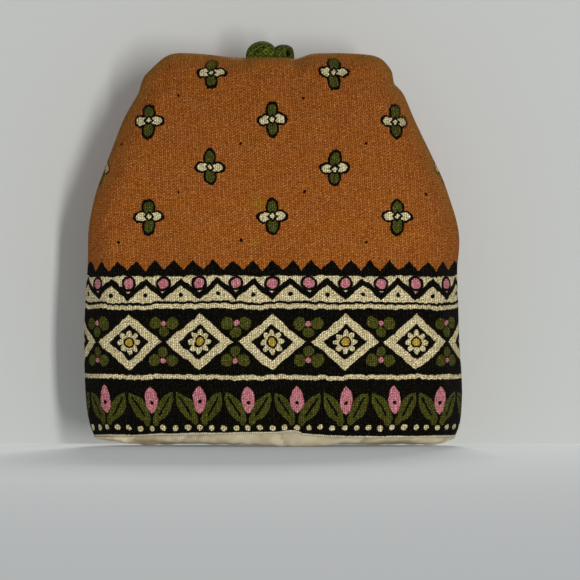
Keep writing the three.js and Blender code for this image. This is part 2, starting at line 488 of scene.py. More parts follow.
@dataclass(frozen=True)
class Settling:
    """A short cloth simulation: a face a little too big for its place finds its own wrinkles.

    It runs on every few points of the face, and on a larger copy, because Blender's cloth is
    steadier at that size. The sewn outline is held still, the rest is held softly by the wadding,
    and the wadding presses outwards.
    """

    stride: int = 3  # it uses every so many points of the face's grid
    scale: float = 10.0  # how much larger than life the copy is
    frames: int = 20  # how long it runs
    pressure: float = 4.0  # how hard the wadding presses
    slack: float = 0.03  # how much bigger the cloth is than the face, as a share
    hold: float = 0.3  # how firmly the wadding holds the cloth back, 0 to 1
    bending: float = 0.5  # how stiff the cloth is against bending
    cap: float = 1.0  # how far a point may move, in millimetres

    def wrinkles(self, face: Array) -> Array:
        """Runs the simulation on a face.

        Args:
            face: the face's grid of (x, y, z) points, in millimetres, with -Y outwards.

        Returns:
            How far outwards each point of the grid has moved, in millimetres.
        """
        high, wide = face.shape[:2]
        rows, columns = (np.unique([*range(0, n, self.stride), n - 1]) for n in (high, wide))
        start = face[np.ix_(rows, columns)]
        moved = (start - self.simulated(start))[..., 1]
        held = self.cap * np.tanh(moved / self.cap)
        across = np.stack([np.interp(np.arange(wide), columns, row) for row in held])
        return np.stack([np.interp(np.arange(high), rows, column) for column in across.T], axis=1)

    def simulated(self, start: Array) -> Array:
        """Where the points of a grid end up, in millimetres.

        The grid's last row joins its first behind the face, so that the wadding has a closed side.
        """
        size = self.scale * MM
        mesh = bpy.data.meshes.new("settling")
        faces = grid_faces(*start.shape[:2], False)
        mesh.from_pydata((start.reshape(-1, 3) * size).tolist(), [], faces.tolist())
        sheet = bpy.data.objects.new("settling", mesh)
        bpy.context.scene.collection.objects.link(sheet)
        border = np.ones(start.shape[:2], dtype=bool)
        border[1:-1, 1:-1] = False
        pins = sheet.vertex_groups.new(name="held")
        pins.add(np.flatnonzero(border).tolist(), 1.0, "REPLACE")
        pins.add(np.flatnonzero(~border).tolist(), self.hold, "REPLACE")
        cloth = sheet.modifiers.new("cloth", "CLOTH")
        cloth.settings.vertex_group_mass = pins.name
        cloth.settings.bending_stiffness = self.bending
        cloth.settings.use_pressure = True
        cloth.settings.uniform_pressure_force = self.pressure
        cloth.settings.shrink_min = -self.slack
        cloth.settings.effector_weights.gravity = 0.0
        cloth.point_cache.frame_start = 1
        cloth.point_cache.frame_end = self.frames
        for moment in range(1, self.frames + 1):
            bpy.context.scene.frame_set(moment)
        settled = sheet.evaluated_get(bpy.context.evaluated_depsgraph_get()).to_mesh()
        points = np.empty(3 * len(settled.vertices))
        settled.vertices.foreach_get("co", points)
        bpy.data.objects.remove(sheet)
        bpy.data.meshes.remove(mesh)
        bpy.context.scene.frame_set(1)
        return points.reshape(start.shape) / size


# ---- the pieces ------------------------------------------


@dataclass(frozen=True)
class Panel:
    """One padded panel: printed cloth over wadding, its lower edge folded in. In millimetres."""

    name: str
    node: str  # the CAD solid that it stands for
    facing: Facing  # which half of the cosy it is
    creases: tuple[Crease, ...] = ()  # the troughs that are pressed into it
    seed: int = 1  # which soft unevenness it has
    padding: Padding = Padding()  # how it swells
    settling: Settling = Settling()  # how its cloth wrinkles
    columns: int = 150  # points across its face
    rows: int = 168  # points up its face
    gather: float = 0.8  # how much closer the points lie near its edges
    edge: float = 0.005  # half the thickness of its sewn edge
    hem_nip: float = 0.8  # how far the hem's stitching draws the cloth in
    hem_reach: float = 3.0  # how far up that shows
    fold: float = 0.38  # the radius of the hem's fold
    fold_share: float = 0.4  # the most of the panel's thickness that the fold's radius takes
    fold_points: int = 8  # how many points its half circle is worked out at
    fold_fade: float = 6.0  # how far up the face is lifted to make room for the fold
    turn: float = 2.7  # how far the hem is turned up inside
    turn_fade: float = 12.0  # how far up the back is lifted with it
    lip: float = 1.8  # how far the seam is parted where the loop comes out of it
    lip_wall: float = 0.35  # how thick the cloth is there
    lip_half: float = 6.2  # half the parted seam's length
    lip_middle: float = -0.4  # the parted seam's middle
    lip_heights: Point = (96.0, 101.0)  # the heights over which it parts
    lip_reach: float = 5.0  # how far in the face is still raised by it
    soft: Ripple = Ripple(0.3, 26.0)  # its soft unevenness
    soft_start: float = 9.0  # how far in that comes to show in full
    puckers: Ripple = Ripple(0.16, 6.5, 9)  # the small puckers along the seam
    pucker_start: float = 1.2  # how far in they are highest
    pucker_reach: float = 4.5  # how far in they die away
    crease_start: float = 2.0  # how far in the creases show in full
    back_slack: float = 0.45  # how far the panel's back stays clear of the lining
    # where the back leaves the seam, in shares of the room's margin
    back_start: Point = (0.55, 0.8)
    back_end: Point = (95.5, 98.0)  # the heights over which it comes back to the top seam

    def parted(self, x: Array, z: Array) -> Array:
        """How far the seam is parted: all of it by the loop, fading past its legs and below."""
        past = (np.abs(x - self.lip_middle) / self.lip_half) ** 4
        return np.sqrt(np.clip(1.0 - past, 0.0, 1.0)) * ease(*self.lip_heights, z)

    def relief(self, x: Array, z: Array, inset: Array, along: Array) -> Array:
        """The face's small unevenness.

        It is the sum of soft waves, of puckers that start just inside the seam and die away, and
        of the creases.

        Args:
            x: places across.
            z: places up.
            inset: their distances from the seam.
            along: how far along the seam they lie.

        Returns:
            How far the face stands out beyond its smooth swell.
        """
        soft = ease(0.0, self.soft_start, inset) * self.soft.at(x, z, self.seed)
        window = ease(0.0, self.pucker_start, inset) * np.exp(-inset / self.pucker_reach)
        puckers = self.puckers.at(along, 0.0, self.seed + 1) * window
        dents = sum(crease.dent(x, z) for crease in self.creases)
        return soft + puckers - ease(0.0, self.crease_start, inset) * dents

    def hem_height(self, x: Array) -> Array:
        """The height of the panel's lower edge."""
        return through(self.padding.pouch.outline.hem, x)

    def drawn_face(self, x: Array, z: Array, inset: Array) -> Array:
        """The smooth swell, less what the hem's stitching draws in.

        The stitching draws most at the hem, and less and less up the panel.

        Args:
            x: places across.
            z: places up.
            inset: their distances from the seam.

        Returns:
            The face's depths from the middle plane.
        """
        up = np.maximum(z - self.hem_height(x), 0.0)
        nip = self.hem_nip * np.exp(-up / self.hem_reach)
        return self.padding.swell(x, z, inset) - nip * self.padding.rolled(x, z, inset)

    def hem_face(self, x: Array) -> Array:
        """How far the face stands out from the middle plane at its lower edge."""
        z = self.hem_height(x)
        inset = np.maximum(self.padding.pouch.outline.half_width(x, z) - np.abs(x), 0.0)
        return self.drawn_face(x, z, inset)

    def face(self, flat: Array) -> tuple[Array, Array]:
        """The face over its grid: drawn in at the hem, parted at the loop, with the relief on it.

        Args:
            flat: the grid's points, (x, z).

        Returns:
            The face's depths from the middle plane, and its distances from the seam.
        """
        x, z = flat[..., 0], flat[..., 1]
        seam = self.padding.pouch.outline.seam()
        inset, share = nearest(flat, seam)
        along = share * lengths(seam)[-1]
        opened = self.lip * self.parted(x, z) * (1.0 - ease(0.0, self.lip_reach, inset))
        depth = self.drawn_face(x, z, inset) + opened
        return np.maximum(depth + self.relief(x, z, inset, along), 2 * self.edge), inset

    def back(self, x: Array, z: Array, inset: Array) -> Array:
        """The panel's hidden back: on the other panel near the seam, and clear of the lining.

        Args:
            x: places across.
            z: places up.
            inset: their distances from the seam.

        Returns:
            The back's depths from the middle plane.
        """
        pouch = self.padding.pouch
        room = pouch.depth(x, z) + pouch.lining + self.back_slack
        start, end = (share * pouch.margin for share in self.back_start)
        inside = ease(start, end, inset) * (1.0 - ease(*self.back_end, z))
        return inside * room + (self.lip - self.lip_wall) * self.parted(x, z)

    def shell(self) -> Shell:
        """The closed panel: its face going down, the hem's fold, and its back going up."""
        across, up = gathered(self.columns, self.gather), gathered(self.rows, self.gather)
        flat = self.padding.pouch.outline.patch(across, up)
        x, z = flat[..., 0], flat[..., 1]
        hem = z[0]
        depth, inset = self.face(flat)
        wrinkles = self.settling.wrinkles(np.stack([x, -depth, z], axis=2))
        depth = np.maximum(depth + wrinkles, 2 * self.edge)
        back_depth = np.minimum(self.back(x, z, inset), depth - self.edge)
        lifted = z + self.fold * (1.0 - ease(0.0, self.fold_fade, z - hem))
        raised = z + self.turn * (1.0 - ease(0.0, self.turn_fade, z - hem))
        front = np.stack([x, depth, lifted], axis=2)
        fold = self.hem_section(x[0], depth[0], hem)
        rear = np.stack([x, back_depth, raised], axis=2)
        points = np.concatenate([front[::-1], fold, rear])
        cloth, above = self.cloth(front, np.concatenate([fold, rear]), hem)
        edges = np.broadcast_to(inset[:1], fold.shape[:2])
        seam = np.concatenate([inset[::-1], edges, inset])
        points[..., 1] *= self.facing.value
        faces = band_faces(len(points), self.columns)
        return Shell(points, faces, cloth, {Mark.SEAM: seam, Mark.HEM: above})

    def cloth(self, front: Array, behind: Array, hem: Array) -> tuple[Array, Array]:
        """The places on the cloth of the points, measured along it from the face's lower edge.

        Args:
            front: the face's points, from the hem up.
            behind: the points of the fold and the back, on from the face's lower edge.
            hem: the heights of the face's lower edge.

        Returns:
            The places (across, along), and the distances above the fold, which go below 0 behind.
        """
        u = front[:, self.columns // 2, :1] + along_cloth(front[..., :2], axis=1)
        up = along_cloth(front[..., 1:], axis=0)
        down = along_cloth(np.concatenate([front[:1], behind]), axis=0)[1:]
        cloth_u = np.concatenate([u[::-1], np.broadcast_to(u[:1], down.shape)])
        cloth_v = np.concatenate([(hem + up)[::-1], hem - down])
        return np.stack([cloth_u, cloth_v], axis=2), np.concatenate([up[::-1], -down])

    def hem_section(self, x: Array, depth: Array, hem: Array) -> Array:
        """The hem's fold: half a circle under the face's lower edge, then up to where it is sewn.

        Args:
            x: the places across of the face's lowest row.
            depth: its depths.
            hem: its heights.

        Returns:
            The fold's rows of points.
        """
        radius = np.minimum(self.fold, self.fold_share * (depth - self.edge))
        turn = np.linspace(0.0, math.pi, self.fold_points)[1:, None]
        round_depth = depth - radius * (1.0 - np.cos(turn))
        round_z = hem + self.fold * (1.0 - np.sin(turn))
        depths = np.concatenate([round_depth, (depth - 2.0 * radius)[None]])
        heights = np.concatenate([round_z, (hem + self.turn)[None]])
        return np.stack([np.broadcast_to(x, depths.shape), depths, heights], axis=2)

    def build(self, finish: Material) -> Object:
        """Makes the panel in its finish, in the place of its CAD solid."""
        piece = self.shell().piece(self.name)
        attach(piece, BODY)
        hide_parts(self.node)
        piece.data.materials.append(finish)
        return piece


@dataclass(frozen=True)
class Pleat:
    """A small slanted pleat in the lining's roll: proud before its line, and sunken past it."""

    low: float  # where its line meets the roll's lower edge, in millimetres across
    high: float  # where its line meets the panel's edge
    depth: float = 0.5  # the height of its step
    before: float = 3.0  # how far the proud side reaches back from the line
    after: float = 4.0  # how far the sunken side reaches
    step: float = 0.25  # half the step's width
    proud: float = 0.5  # how high the proud side stands, as a share of the step
    dark: Point = (-0.1, 0.3)  # how far past the line the shade begins and is full

    def past(self, x: Array, lift: Array) -> Array:
        """How far past the pleat's line a place across is, at a share of the way up the roll."""
        return x - self.low - (self.high - self.low) * lift

    def rise(self, x: Array, lift: Array) -> Array:
        """How far the cloth stands out, or sinks: it dies away from the line on both sides."""
        past = self.past(x, lift)
        over = ease(-self.step, self.step, past)
        proud = np.exp(np.minimum(past, 0.0) / self.before) * (1.0 - over)
        sunken = np.exp(-np.maximum(past, 0.0) / self.after) * over
        return self.depth * (self.proud * proud - sunken)

    def shade(self, x: Array, lift: Array) -> Array:
        """How shaded the cloth is just past the line."""
        past = self.past(x, lift)
        return ease(*self.dark, past) * np.exp(-np.maximum(past, 0.0) / (0.5 * self.after))


@dataclass(frozen=True)
class Lining:
    """Half of the lining: up inside its panel, and rolled out under the hem, in millimetres."""

    name: str
    node: str  # the CAD solid that it stands for
    panel: Panel  # the panel that it lies in
    # how high the roll's underside stands above the table, as (place across, height)
    edge: tuple[Point, ...]
    # the roll seen from its end: its share of the way from the inside of the mouth to the panel's
    # face, and its height in shares of the height of the panel's edge
    section: tuple[Point, ...] = (
        (0.0, 2.0), (0.01, 1.3), (0.05, 0.75), (0.16, 0.28), (0.36, 0.03), (0.58, 0.0),
        (0.80, 0.08), (0.93, 0.3), (0.985, 0.6), (0.975, 0.88), (0.925, 1.08), (0.86, 1.16),
        (0.845, 1.3), (0.845, 1.55),
    )
    seed: int = 5  # which puffs it has
    pleats: tuple[Pleat, ...] = ()
    thickness: float = 0.45  # how thick the cloth is
    columns: int = 260  # points along the hem
    rows: int = 60  # points up the pouch
    roll_rows: int = 56  # points round the roll
    gather: float = 0.9  # how much closer the points lie near the side seams
    pouch_gather: float = 0.5  # how much closer they lie at the pouch's two ends
    pouch_lean: float = 1.15  # a power above 1 draws them towards its closed end
    mouth: float = 6.5  # the height at which the pouch turns into the roll
    square: int = 14  # the power that keeps the pouch open nearly up to its side seams
    # how loosely the pouch hangs: its height is a share of the pouch's depth
    loose: Ripple = Ripple(0.06, 24.0, 6)
    hem_half: float = 48.0  # about half the hem's width
    plan_steps: int = 600  # how many points the line that the roll reaches out to is worked out at
    inset: float = 0.25  # how far inside the panel's face the roll reaches
    sway: Ripple = Ripple(0.12, 5.0)  # how its lower edge rises and dips besides
    clear: float = 0.02  # how far above the table it stays
    puffs: Ripple = Ripple(0.3, 11.0)  # how the roll swells and sinks along its length
    small_puffs: Ripple = Ripple(0.18, 4.5)  # its smaller puffs
    lean: float = 2.0  # how far they lean from the roll's lower edge to its upper one
    crumple: Ripple = Ripple(0.16, 3.4, 9)  # its small wrinkles
    flat: float = 1.3  # how much closer they lie up the roll than along it
    shown_out: Point = (0.5, 0.95)  # the shares of the way out over which they come to show
    shown_up: Point = (0.8, 1.05)  # the shares of the way up over which they die away
    shade_end: Point = (1.1, 1.4)  # the shares of the way up over which the pleats' shade dies away
    least: float = 0.5  # the least height that the roll is taken to have

    def pouch_surface(self, share: Array) -> Array:
        """The cloth inside the cosy, from the pouch's closed end down to its mouth.

        Its depth is the room's, rounded off at the sides by a high power and at the closed end
        by a quarter circle.

        Args:
            share: the columns' shares of the half width, from -1 at the left to 1 at the right.

        Returns:
            Rows of points (x, depth, z).
        """
        pouch = self.panel.padding.pouch
        down = gathered(self.rows, self.pouch_gather)[:, None] ** self.pouch_lean
        z = pouch.closed - (pouch.closed - self.mouth) * down
        x = share * (pouch.outline.half_width(share[None], z) - pouch.margin)
        sides = np.sqrt(np.maximum(1.0 - np.abs(share[None]) ** self.square, 0.0))
        opened = np.clip((pouch.closed - z) / pouch.closing, 0.0, 1.0)
        top = np.sqrt(opened * (2.0 - opened))
        loose = 1.0 + self.loose.at(x, z, self.seed)
        depth = pouch.seam + pouch.depth(x, z) * sides * top * loose
        return np.stack([x, depth, np.broadcast_to(z, x.shape)], axis=2)

    def outer_plan(self) -> Array:
        """The line, (x, depth), that the roll reaches out to: just inside the panel's hem."""
        turn = np.linspace(-0.5 * math.pi, 0.5 * math.pi, self.plan_steps)
        side = np.sin(turn)
        hem = self.panel.hem_height(side * self.hem_half)
        x = side * self.panel.padding.pouch.outline.half_width(side, hem)
        line = np.stack([x, self.panel.hem_face(x)], axis=1)
        along = np.gradient(line, axis=0)
        out = np.stack([-along[:, 1], along[:, 0]], axis=1)
        line = line - self.inset * (out / np.linalg.norm(along, axis=1, keepdims=True))
        line[:, 1] = np.maximum(line[:, 1], 0.0)
        return line

    def underside(self, x: Array, run: Array) -> Array:
        """The height of the roll's underside: its table, and a small sway along its length."""
        sway = self.sway.at(run, 0.0, self.seed + 6)
        return np.maximum(through(self.edge, x) + sway, self.clear)

    def swell(self, x: Array, run: Array, lift: Array, height: Array) -> Array:
        """How far the roll stands out: the sum of its puffs, its wrinkles and its pleats.

        Args:
            x: the columns' places across.
            run: how far along the roll they lie.
            lift: the rows' heights, in shares of the height of the panel's edge.
            height: each point's height above the underside.

        Returns:
            The swell at each row and column.
        """
        puffs = self.puffs.at(run, 0.0, self.seed + 2)
        small = self.small_puffs.at(run + self.lean * lift, height, self.seed + 3)
        wrinkles = self.crumple.at(run, self.flat * height, self.seed + 4)
        return puffs + small + wrinkles + sum(pleat.rise(x, lift) for pleat in self.pleats)

    def roll_surface(self, mouth: Array) -> Array:
        """The roll: the section carried along the mouth, out to the panel's face.

        Inside the mouth its rows are spread between the underside and the mouth, and outside it
        between the underside and the panel's edge.

        Args:
            mouth: the pouch's lowest row of points.

        Returns:
            Rows of points (x, depth, z).
        """
        along = lengths(mouth[:, :2])
        out = part_way(self.outer_plan(), along / along[-1])
        x, run = out[:, 0], lengths(out)
        low, hem = self.underside(x, run), self.panel.hem_height(x)
        section = smooth_line(self.section, self.roll_rows)[1:]
        way, lift = section[:, :1], section[:, 1:]
        gap = out - mouth[:, :2]
        shown = ease(*self.shown_out, way) * (1.0 - ease(*self.shown_up, lift))
        swell = shown * self.swell(x, run, lift, lift * (hem - low))
        way = way + swell / np.maximum(np.linalg.norm(gap, axis=1), 1.0)
        plan = mouth[None, :, :2] + way[..., None] * gap[None]
        inner = (np.arange(len(lift)) < np.argmin(lift))[:, None]
        z = low + lift * np.where(inner, (self.mouth - low) / self.section[0][1], hem - low)
        return np.concatenate([plan, z[..., None]], axis=2)

    def shell(self) -> Shell:
        """The closed cloth: the side that shows, and the side that lies against the wadding."""
        share = 2.0 * gathered(self.columns, self.gather) - 1.0
        pouch = self.pouch_surface(share)
        shown = np.concatenate([pouch, self.roll_surface(pouch[-1])])
        out = normals(shown)
        outwards = 1.0 if out[self.rows // 2, self.columns // 2, 1] > 0 else -1.0
        hidden = shown + out * self.thickness * outwards
        hidden[..., 1] = np.maximum(hidden[..., 1], 0.0)
        points = np.concatenate([shown, hidden[::-1]])
        across, down = along_cloth(shown[..., :2], axis=1), along_cloth(shown, axis=0)
        cloth = np.stack([across, -down], axis=2)
        cloth = np.concatenate([cloth, cloth[::-1]])
        points[..., 1] *= self.panel.facing.value
        faces = band_faces(len(points), self.columns)
        shade = np.concatenate([self.shade(shown), np.zeros(shown.shape[:2])])
        return Shell(points, faces, cloth, {Mark.SHADE: shade})

    def shade(self, shown: Array) -> Array:
        """How much painted shade each point gets from the pleats, from 0 to 1."""
        x, z = shown[..., 0], shown[..., 2]
        low = through(self.edge, x)
        lift = (z - low) / np.maximum(self.panel.hem_height(x) - low, self.least)
        deep = sum(pleat.shade(x, lift) for pleat in self.pleats)
        return np.clip(deep, 0.0, 1.0) * (1.0 - ease(*self.shade_end, lift))

    def build(self, finish: Material) -> Object:
        """Makes the lining half in its finish, in the place of its CAD solid."""
        piece = self.shell().piece(self.name)
        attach(piece, BODY)
        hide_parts(self.node)
        piece.data.materials.append(finish)
        return piece


@dataclass(frozen=True)
class Loop:
    """The loop: a soft hollow tube of folded cloth, both ends in the top seam. In millimetres."""

    name: str
    node: str  # the CAD solid that it stands for
    # the middle of the tube, (x, y, z), from one end to the other
    route: tuple[Place, ...] = (
        (-3.1, 0.2, 98.6), (-3.1, 0.2, 102.0), (-3.0, 0.8, 104.2), (-2.75, 3.3, 105.3),
        (-3.0, 6.6, 104.0), (-3.3, 8.7, 99.3), (-3.3, 9.6, 93.6), (-2.3, 10.6, 89.0),
        (0.0, 11.1, 87.3), (2.3, 10.6, 89.0), (3.2, 9.6, 93.6), (3.2, 8.7, 99.0),
        (3.1, 6.5, 103.4), (2.9, 3.4, 104.8), (3.05, 0.9, 104.0), (3.05, 0.2, 102.0),
        (2.95, 0.2, 98.6),
    )
    # the tube's half width and half thickness along it, as (share, width, thickness)
    halves: tuple[Place, ...] = (
        (0.0, 3.0, 1.2), (0.07, 4.0, 1.5), (0.11, 3.75, 2.05), (0.17, 3.1, 2.05), (0.26, 3.0, 1.5),
        (0.5, 2.6, 1.25), (0.76, 2.7, 1.25), (0.84, 2.65, 1.6), (0.89, 2.6, 1.7), (0.94, 2.55, 1.4),
        (1.0, 2.5, 1.2),
    )
    # how square its section is along it, as (share, exponent): 2 is an ellipse
    flatness: tuple[Point, ...] = (
        (0.0, 2.3), (0.1, 2.0), (0.17, 1.8), (0.3, 2.2), (0.8, 2.2), (0.88, 2.1), (1.0, 2.3),
    )
    wall: float = 0.5  # how thick its cloth is
    girth: float = 13.0  # how far the cloth is taken to reach round it
    around: int = 72  # points round the tube
    stations: int = 220  # points along it
    eye: Point = (2.5, 99.0)  # the (y, z) that its outer side is turned away from
    # the middle of the hollow that the cloth is folded into beside the right end
    hollow: Place = (4.6, -1.0, 104.3)
    hollow_size: Place = (0.75, 2.2, 1.3)  # how far it reaches each way
    hollow_depth: float = 1.3  # how deep it is

    def pressed(self, points: Array) -> Array:
        """A share from 0 to 1 of the hollow where the cloth is folded in at the right leg's end; it
        also sets the painted shade there.
        """
        off = (points - np.array(self.hollow)) / np.array(self.hollow_size)
        return np.exp(-(off**2).sum(-1))

    def turned(self, line: Array) -> tuple[Array, Array]:
        """The ways that the tube's section faces along it.

        Outwards is away from the loop's eye and square to the line, and sideways is square to both.

        Args:
            line: the middle of the tube.

        Returns:
            The unit steps sideways and outwards at each point of the line.
        """
        forward = np.gradient(line, axis=0)
        forward /= np.linalg.norm(forward, axis=1, keepdims=True)
        y, z = self.eye
        away = [0.0 * line[:, 0], line[:, 1] - y, np.maximum(line[:, 2] - z, 0.0)]
        guide = np.stack(away, axis=1)
        guide -= (guide * forward).sum(1, keepdims=True) * forward
        out = guide / np.linalg.norm(guide, axis=1, keepdims=True)
        return np.cross(forward, out), out

    def tube(self, line: Array, share: Array, turn: Array, spare: float) -> Array:
        """The tube's surface: a rounded oval, carried along the line.

        The oval's width and height are powers of the turn's cosine and sine, with their signs.

        Args:
            line: the middle of the tube.
            share: the shares of its length where its points lie.
            turn: the turns round it.
            spare: how much smaller the oval is all round.

        Returns:
            Rows of points (x, y, z), one row for each point of the line.
        """
        side, out = self.turned(line)
        at, wide, thick = np.array(self.halves).T
        power = 2.0 / through(self.flatness, share)[:, None]
        across = np.sign(np.cos(turn)) * np.abs(np.cos(turn)) ** power
        up = np.sign(np.sin(turn)) * np.abs(np.sin(turn)) ** power
        sideways = across * (through(tuple(zip(at, wide)), share) - spare)[:, None]
        outwards = up * (through(tuple(zip(at, thick)), share) - spare)[:, None]
        surface = line[:, None] + sideways[..., None] * side[:, None]
        return surface + outwards[..., None] * out[:, None]

    def shell(self) -> Shell:
        """The closed tube: its outside going along, and its inside coming back."""
        line = smooth_line(self.route, self.stations)
        share = np.linspace(0.0, 1.0, self.stations)
        turn = np.linspace(0.0, math.tau, self.around, endpoint=False)
        outside = self.tube(line, share, turn, 0.0)
        inside = self.tube(line, share, turn, self.wall)
        pressed = self.pressed(outside)
        inwards = line[:, None] - outside
        pull = (self.hollow_depth * pressed)[..., None] * inwards
        pull /= np.linalg.norm(inwards, axis=2, keepdims=True)
        points = np.concatenate([outside + pull, (inside + pull)[::-1]])
        v = np.broadcast_to((share * lengths(line)[-1])[:, None], pressed.shape)
        u = np.broadcast_to(turn / math.tau * self.girth, pressed.shape)
        cloth = np.stack([u, v], axis=2)
        cloth = np.concatenate([cloth, cloth[::-1]])
        # the hollow's share, which the material paints as shade
        shade = np.concatenate([pressed, 0.0 * pressed])
        return Shell(points, grid_faces(len(points), self.around, True), cloth, {Mark.SHADE: shade})

    def build(self, finish: Material) -> Object:
        """Makes the loop in its finish, in the place of its CAD solid."""
        piece = self.shell().piece(self.name)
        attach(piece, BODY)
        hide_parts(self.node)
        piece.data.materials.append(finish)
        return piece


# ---- arithmetic on surfaces ------------------------------


@dataclass(frozen=True)
class Flow:
    """What a node puts out, and the tree that it is part of."""

    tree: NodeTree
    socket: NodeSocket


def feed(tree: NodeTree, place: NodeSocket, value: object) -> None:
    """Puts what a node puts out, a named colour or a number into an input."""
    if isinstance(value, Flow):
        tree.links.new(value.socket, place)
    elif isinstance(value, Enum):
        place.default_value = (*value.value, 1.0)
    else:
        place.default_value = value


class Signal(Flow):
    """A number that changes over a surface, which adds and multiplies like a plain number."""

    def math(self, operation: str, *others: "Signal | float") -> "Signal":
        """A Math node on this signal and the others.

        Args:
            operation: the node's operation.
            others: its further inputs, in order.

        Returns:
            What the node puts out.
        """
        node = self.tree.nodes.new("ShaderNodeMath")
        node.operation = operation
        for place, value in zip(node.inputs, (self, *others)):
            feed(self.tree, place, value)
        return Signal(self.tree, node.outputs[0])

    def __add__(self, other: "Signal | float") -> "Signal":
        """This and the other together."""
        return self.math("ADD", other)

    def __sub__(self, other: "Signal | float") -> "Signal":
        """This less the other."""
        return self.math("SUBTRACT", other)

    def __rsub__(self, other: float) -> "Signal":
        """The other less this."""
        return (self * -1.0) + other

    def __mul__(self, other: "Signal | float") -> "Signal":
        """This times the other."""
        return self.math("MULTIPLY", other)

    def __truediv__(self, other: "Signal | float") -> "Signal":
        """This over the other."""
        return self.math("DIVIDE", other)

    def __abs__(self) -> "Signal":
        """This without its sign."""
        return self.math("ABSOLUTE")

    def __pow__(self, other: float) -> "Signal":
        """This to a power."""
        return self.math("POWER", other)

    def clamped(self) -> "Signal":
        """This, held between 0 and 1."""
        out = self.math("ADD", 0.0)
        out.socket.node.use_clamp = True
        return out

    def ramp(self, start: float, length: float) -> "Signal":
        """0 up to where this is at the start, and rising evenly from there to 1."""
        return ((self - start) / length).clamped()

    def wrapped(self, period: float) -> "Signal":
        """This, measured from the middle of each repeat of a period."""
        return self.math("WRAP", 0.5 * period, -0.5 * period)

    def between(self, low: float, high: float, soft: float) -> "Signal":
        """A mask of where this lies between two values, with soft edges."""
        return ((self - low) / soft + 0.5).clamped() * ((high - self) / soft + 0.5).clamped()


def far(x: Signal, y: Signal) -> Signal:
    """How far a place is from the origin of x and y."""
    return (x * x + y * y).math("SQRT")


def inked(distance: Signal, soft: float = 0.16) -> Signal:
    """A mask of the inside of a shape, from the distance outside its edge, soft as wet ink."""
    return (0.5 - distance / soft).clamped()


class Ink(Enum):
    """The print's inks, as the cloth shows them."""

    RUST = (0.245, 0.0665, 0.0085)
    BLACK = (0.0018, 0.0013, 0.0006)
    CREAM = (0.460, 0.385, 0.205)
    OLIVE = (0.0420, 0.0430, 0.0050)
    PINK = (0.400, 0.130, 0.150)
    MUSTARD = (0.330, 0.210, 0.020)


class Dye(Enum):
    """The colours of the plain cloths, of their undyed fold, fading and stains, and of the painted
    shade, light and sheen on them.
    """

    HEM_FOLD = (0.48, 0.435, 0.32)
    # fading, with a painted sheen where the cloth turns away at its edges
    FADED = (0.20, 0.105, 0.016)
    STAINED = (0.20, 0.165, 0.008)
    CREAM = (0.46, 0.41, 0.28)
    YELLOWED = (0.31, 0.235, 0.13)
    # painted shade in the lining's pleats
    PLEAT = (0.17, 0.115, 0.06)
    # painted shade between the loop's threads
    DEEP_GREEN = (0.010, 0.014, 0.0008)
    # painted light on the loop's thread crowns
    GREEN = (0.088, 0.108, 0.012)
    # painted shade in the loop's hollow
    HOLLOW = (0.002, 0.002, 0.0005)


class Paint(Flow):
    """A colour that changes over a surface."""

    def under(self, ink: Ink | Dye, mask: Signal) -> "Paint":
        """This with ink over it where the mask is 1."""
        return mixed(mask, self, ink)

    def printed(self, *coats: tuple[Ink, Signal], inside: Signal) -> "Paint":
        """This with several inks printed on it in turn, all of them inside one mask."""
        paint = self
        for ink, mask in coats:
            paint = paint.under(ink, mask * inside)
        return paint

    def toned(self, power: Signal) -> "Paint":
        """This with each of its colours raised to a power: paler below 1, and deeper above it."""
        node = self.tree.nodes.new("ShaderNodeGamma")
        feed(self.tree, node.inputs["Color"], self)
        feed(self.tree, node.inputs["Gamma"], power)
        return Paint(self.tree, node.outputs["Color"])

    def lit(self, amount: Signal) -> "Paint":
        """This made lighter or darker: times the amount."""
        node = self.tree.nodes.new("ShaderNodeVectorMath")
        node.operation = "SCALE"
        feed(self.tree, node.inputs[0], self)
        feed(self.tree, node.inputs["Scale"], amount)
        return Paint(self.tree, node.outputs[0])

    def lightness(self) -> Signal:
        """How light this is."""
        return Signal(self.tree, self.socket)


def mixed(mask: Signal, below: Paint | Ink | Dye, above: Ink | Dye) -> Paint:
    """One colour with another over it.

    Args:
        mask: how much of the upper colour shows.
        below: the lower colour.
        above: the upper colour.

    Returns:
        The two together.
    """
    node = mask.tree.nodes.new("ShaderNodeMix")
    node.data_type = "RGBA"
    for place, value in zip(COLOUR_INPUTS, (mask, below, above)):
        feed(mask.tree, node.inputs[place], value)
    return Paint(mask.tree, node.outputs[COLOUR_OUTPUT])


class Kind(Enum):
    """What a group's output carries."""

    NUMBER = "NodeSocketFloat"
    COLOUR = "NodeSocketColor"


class Slice(Enum):
    """Which slice of the noise an unevenness is cut from, so that no two are alike."""

    WANDER = 1.7
    SAG = 8.3
    WARP = 3.1
    WEFT = 5.9
    FIBRES = 4.7
    DRIFT_ACROSS = 2.3
    DRIFT_ALONG = 6.1
    BLEED_ACROSS = 3.3
    BLEED_ALONG = 7.1
    RUBBED = 4.4
    PATCHES = 9.2


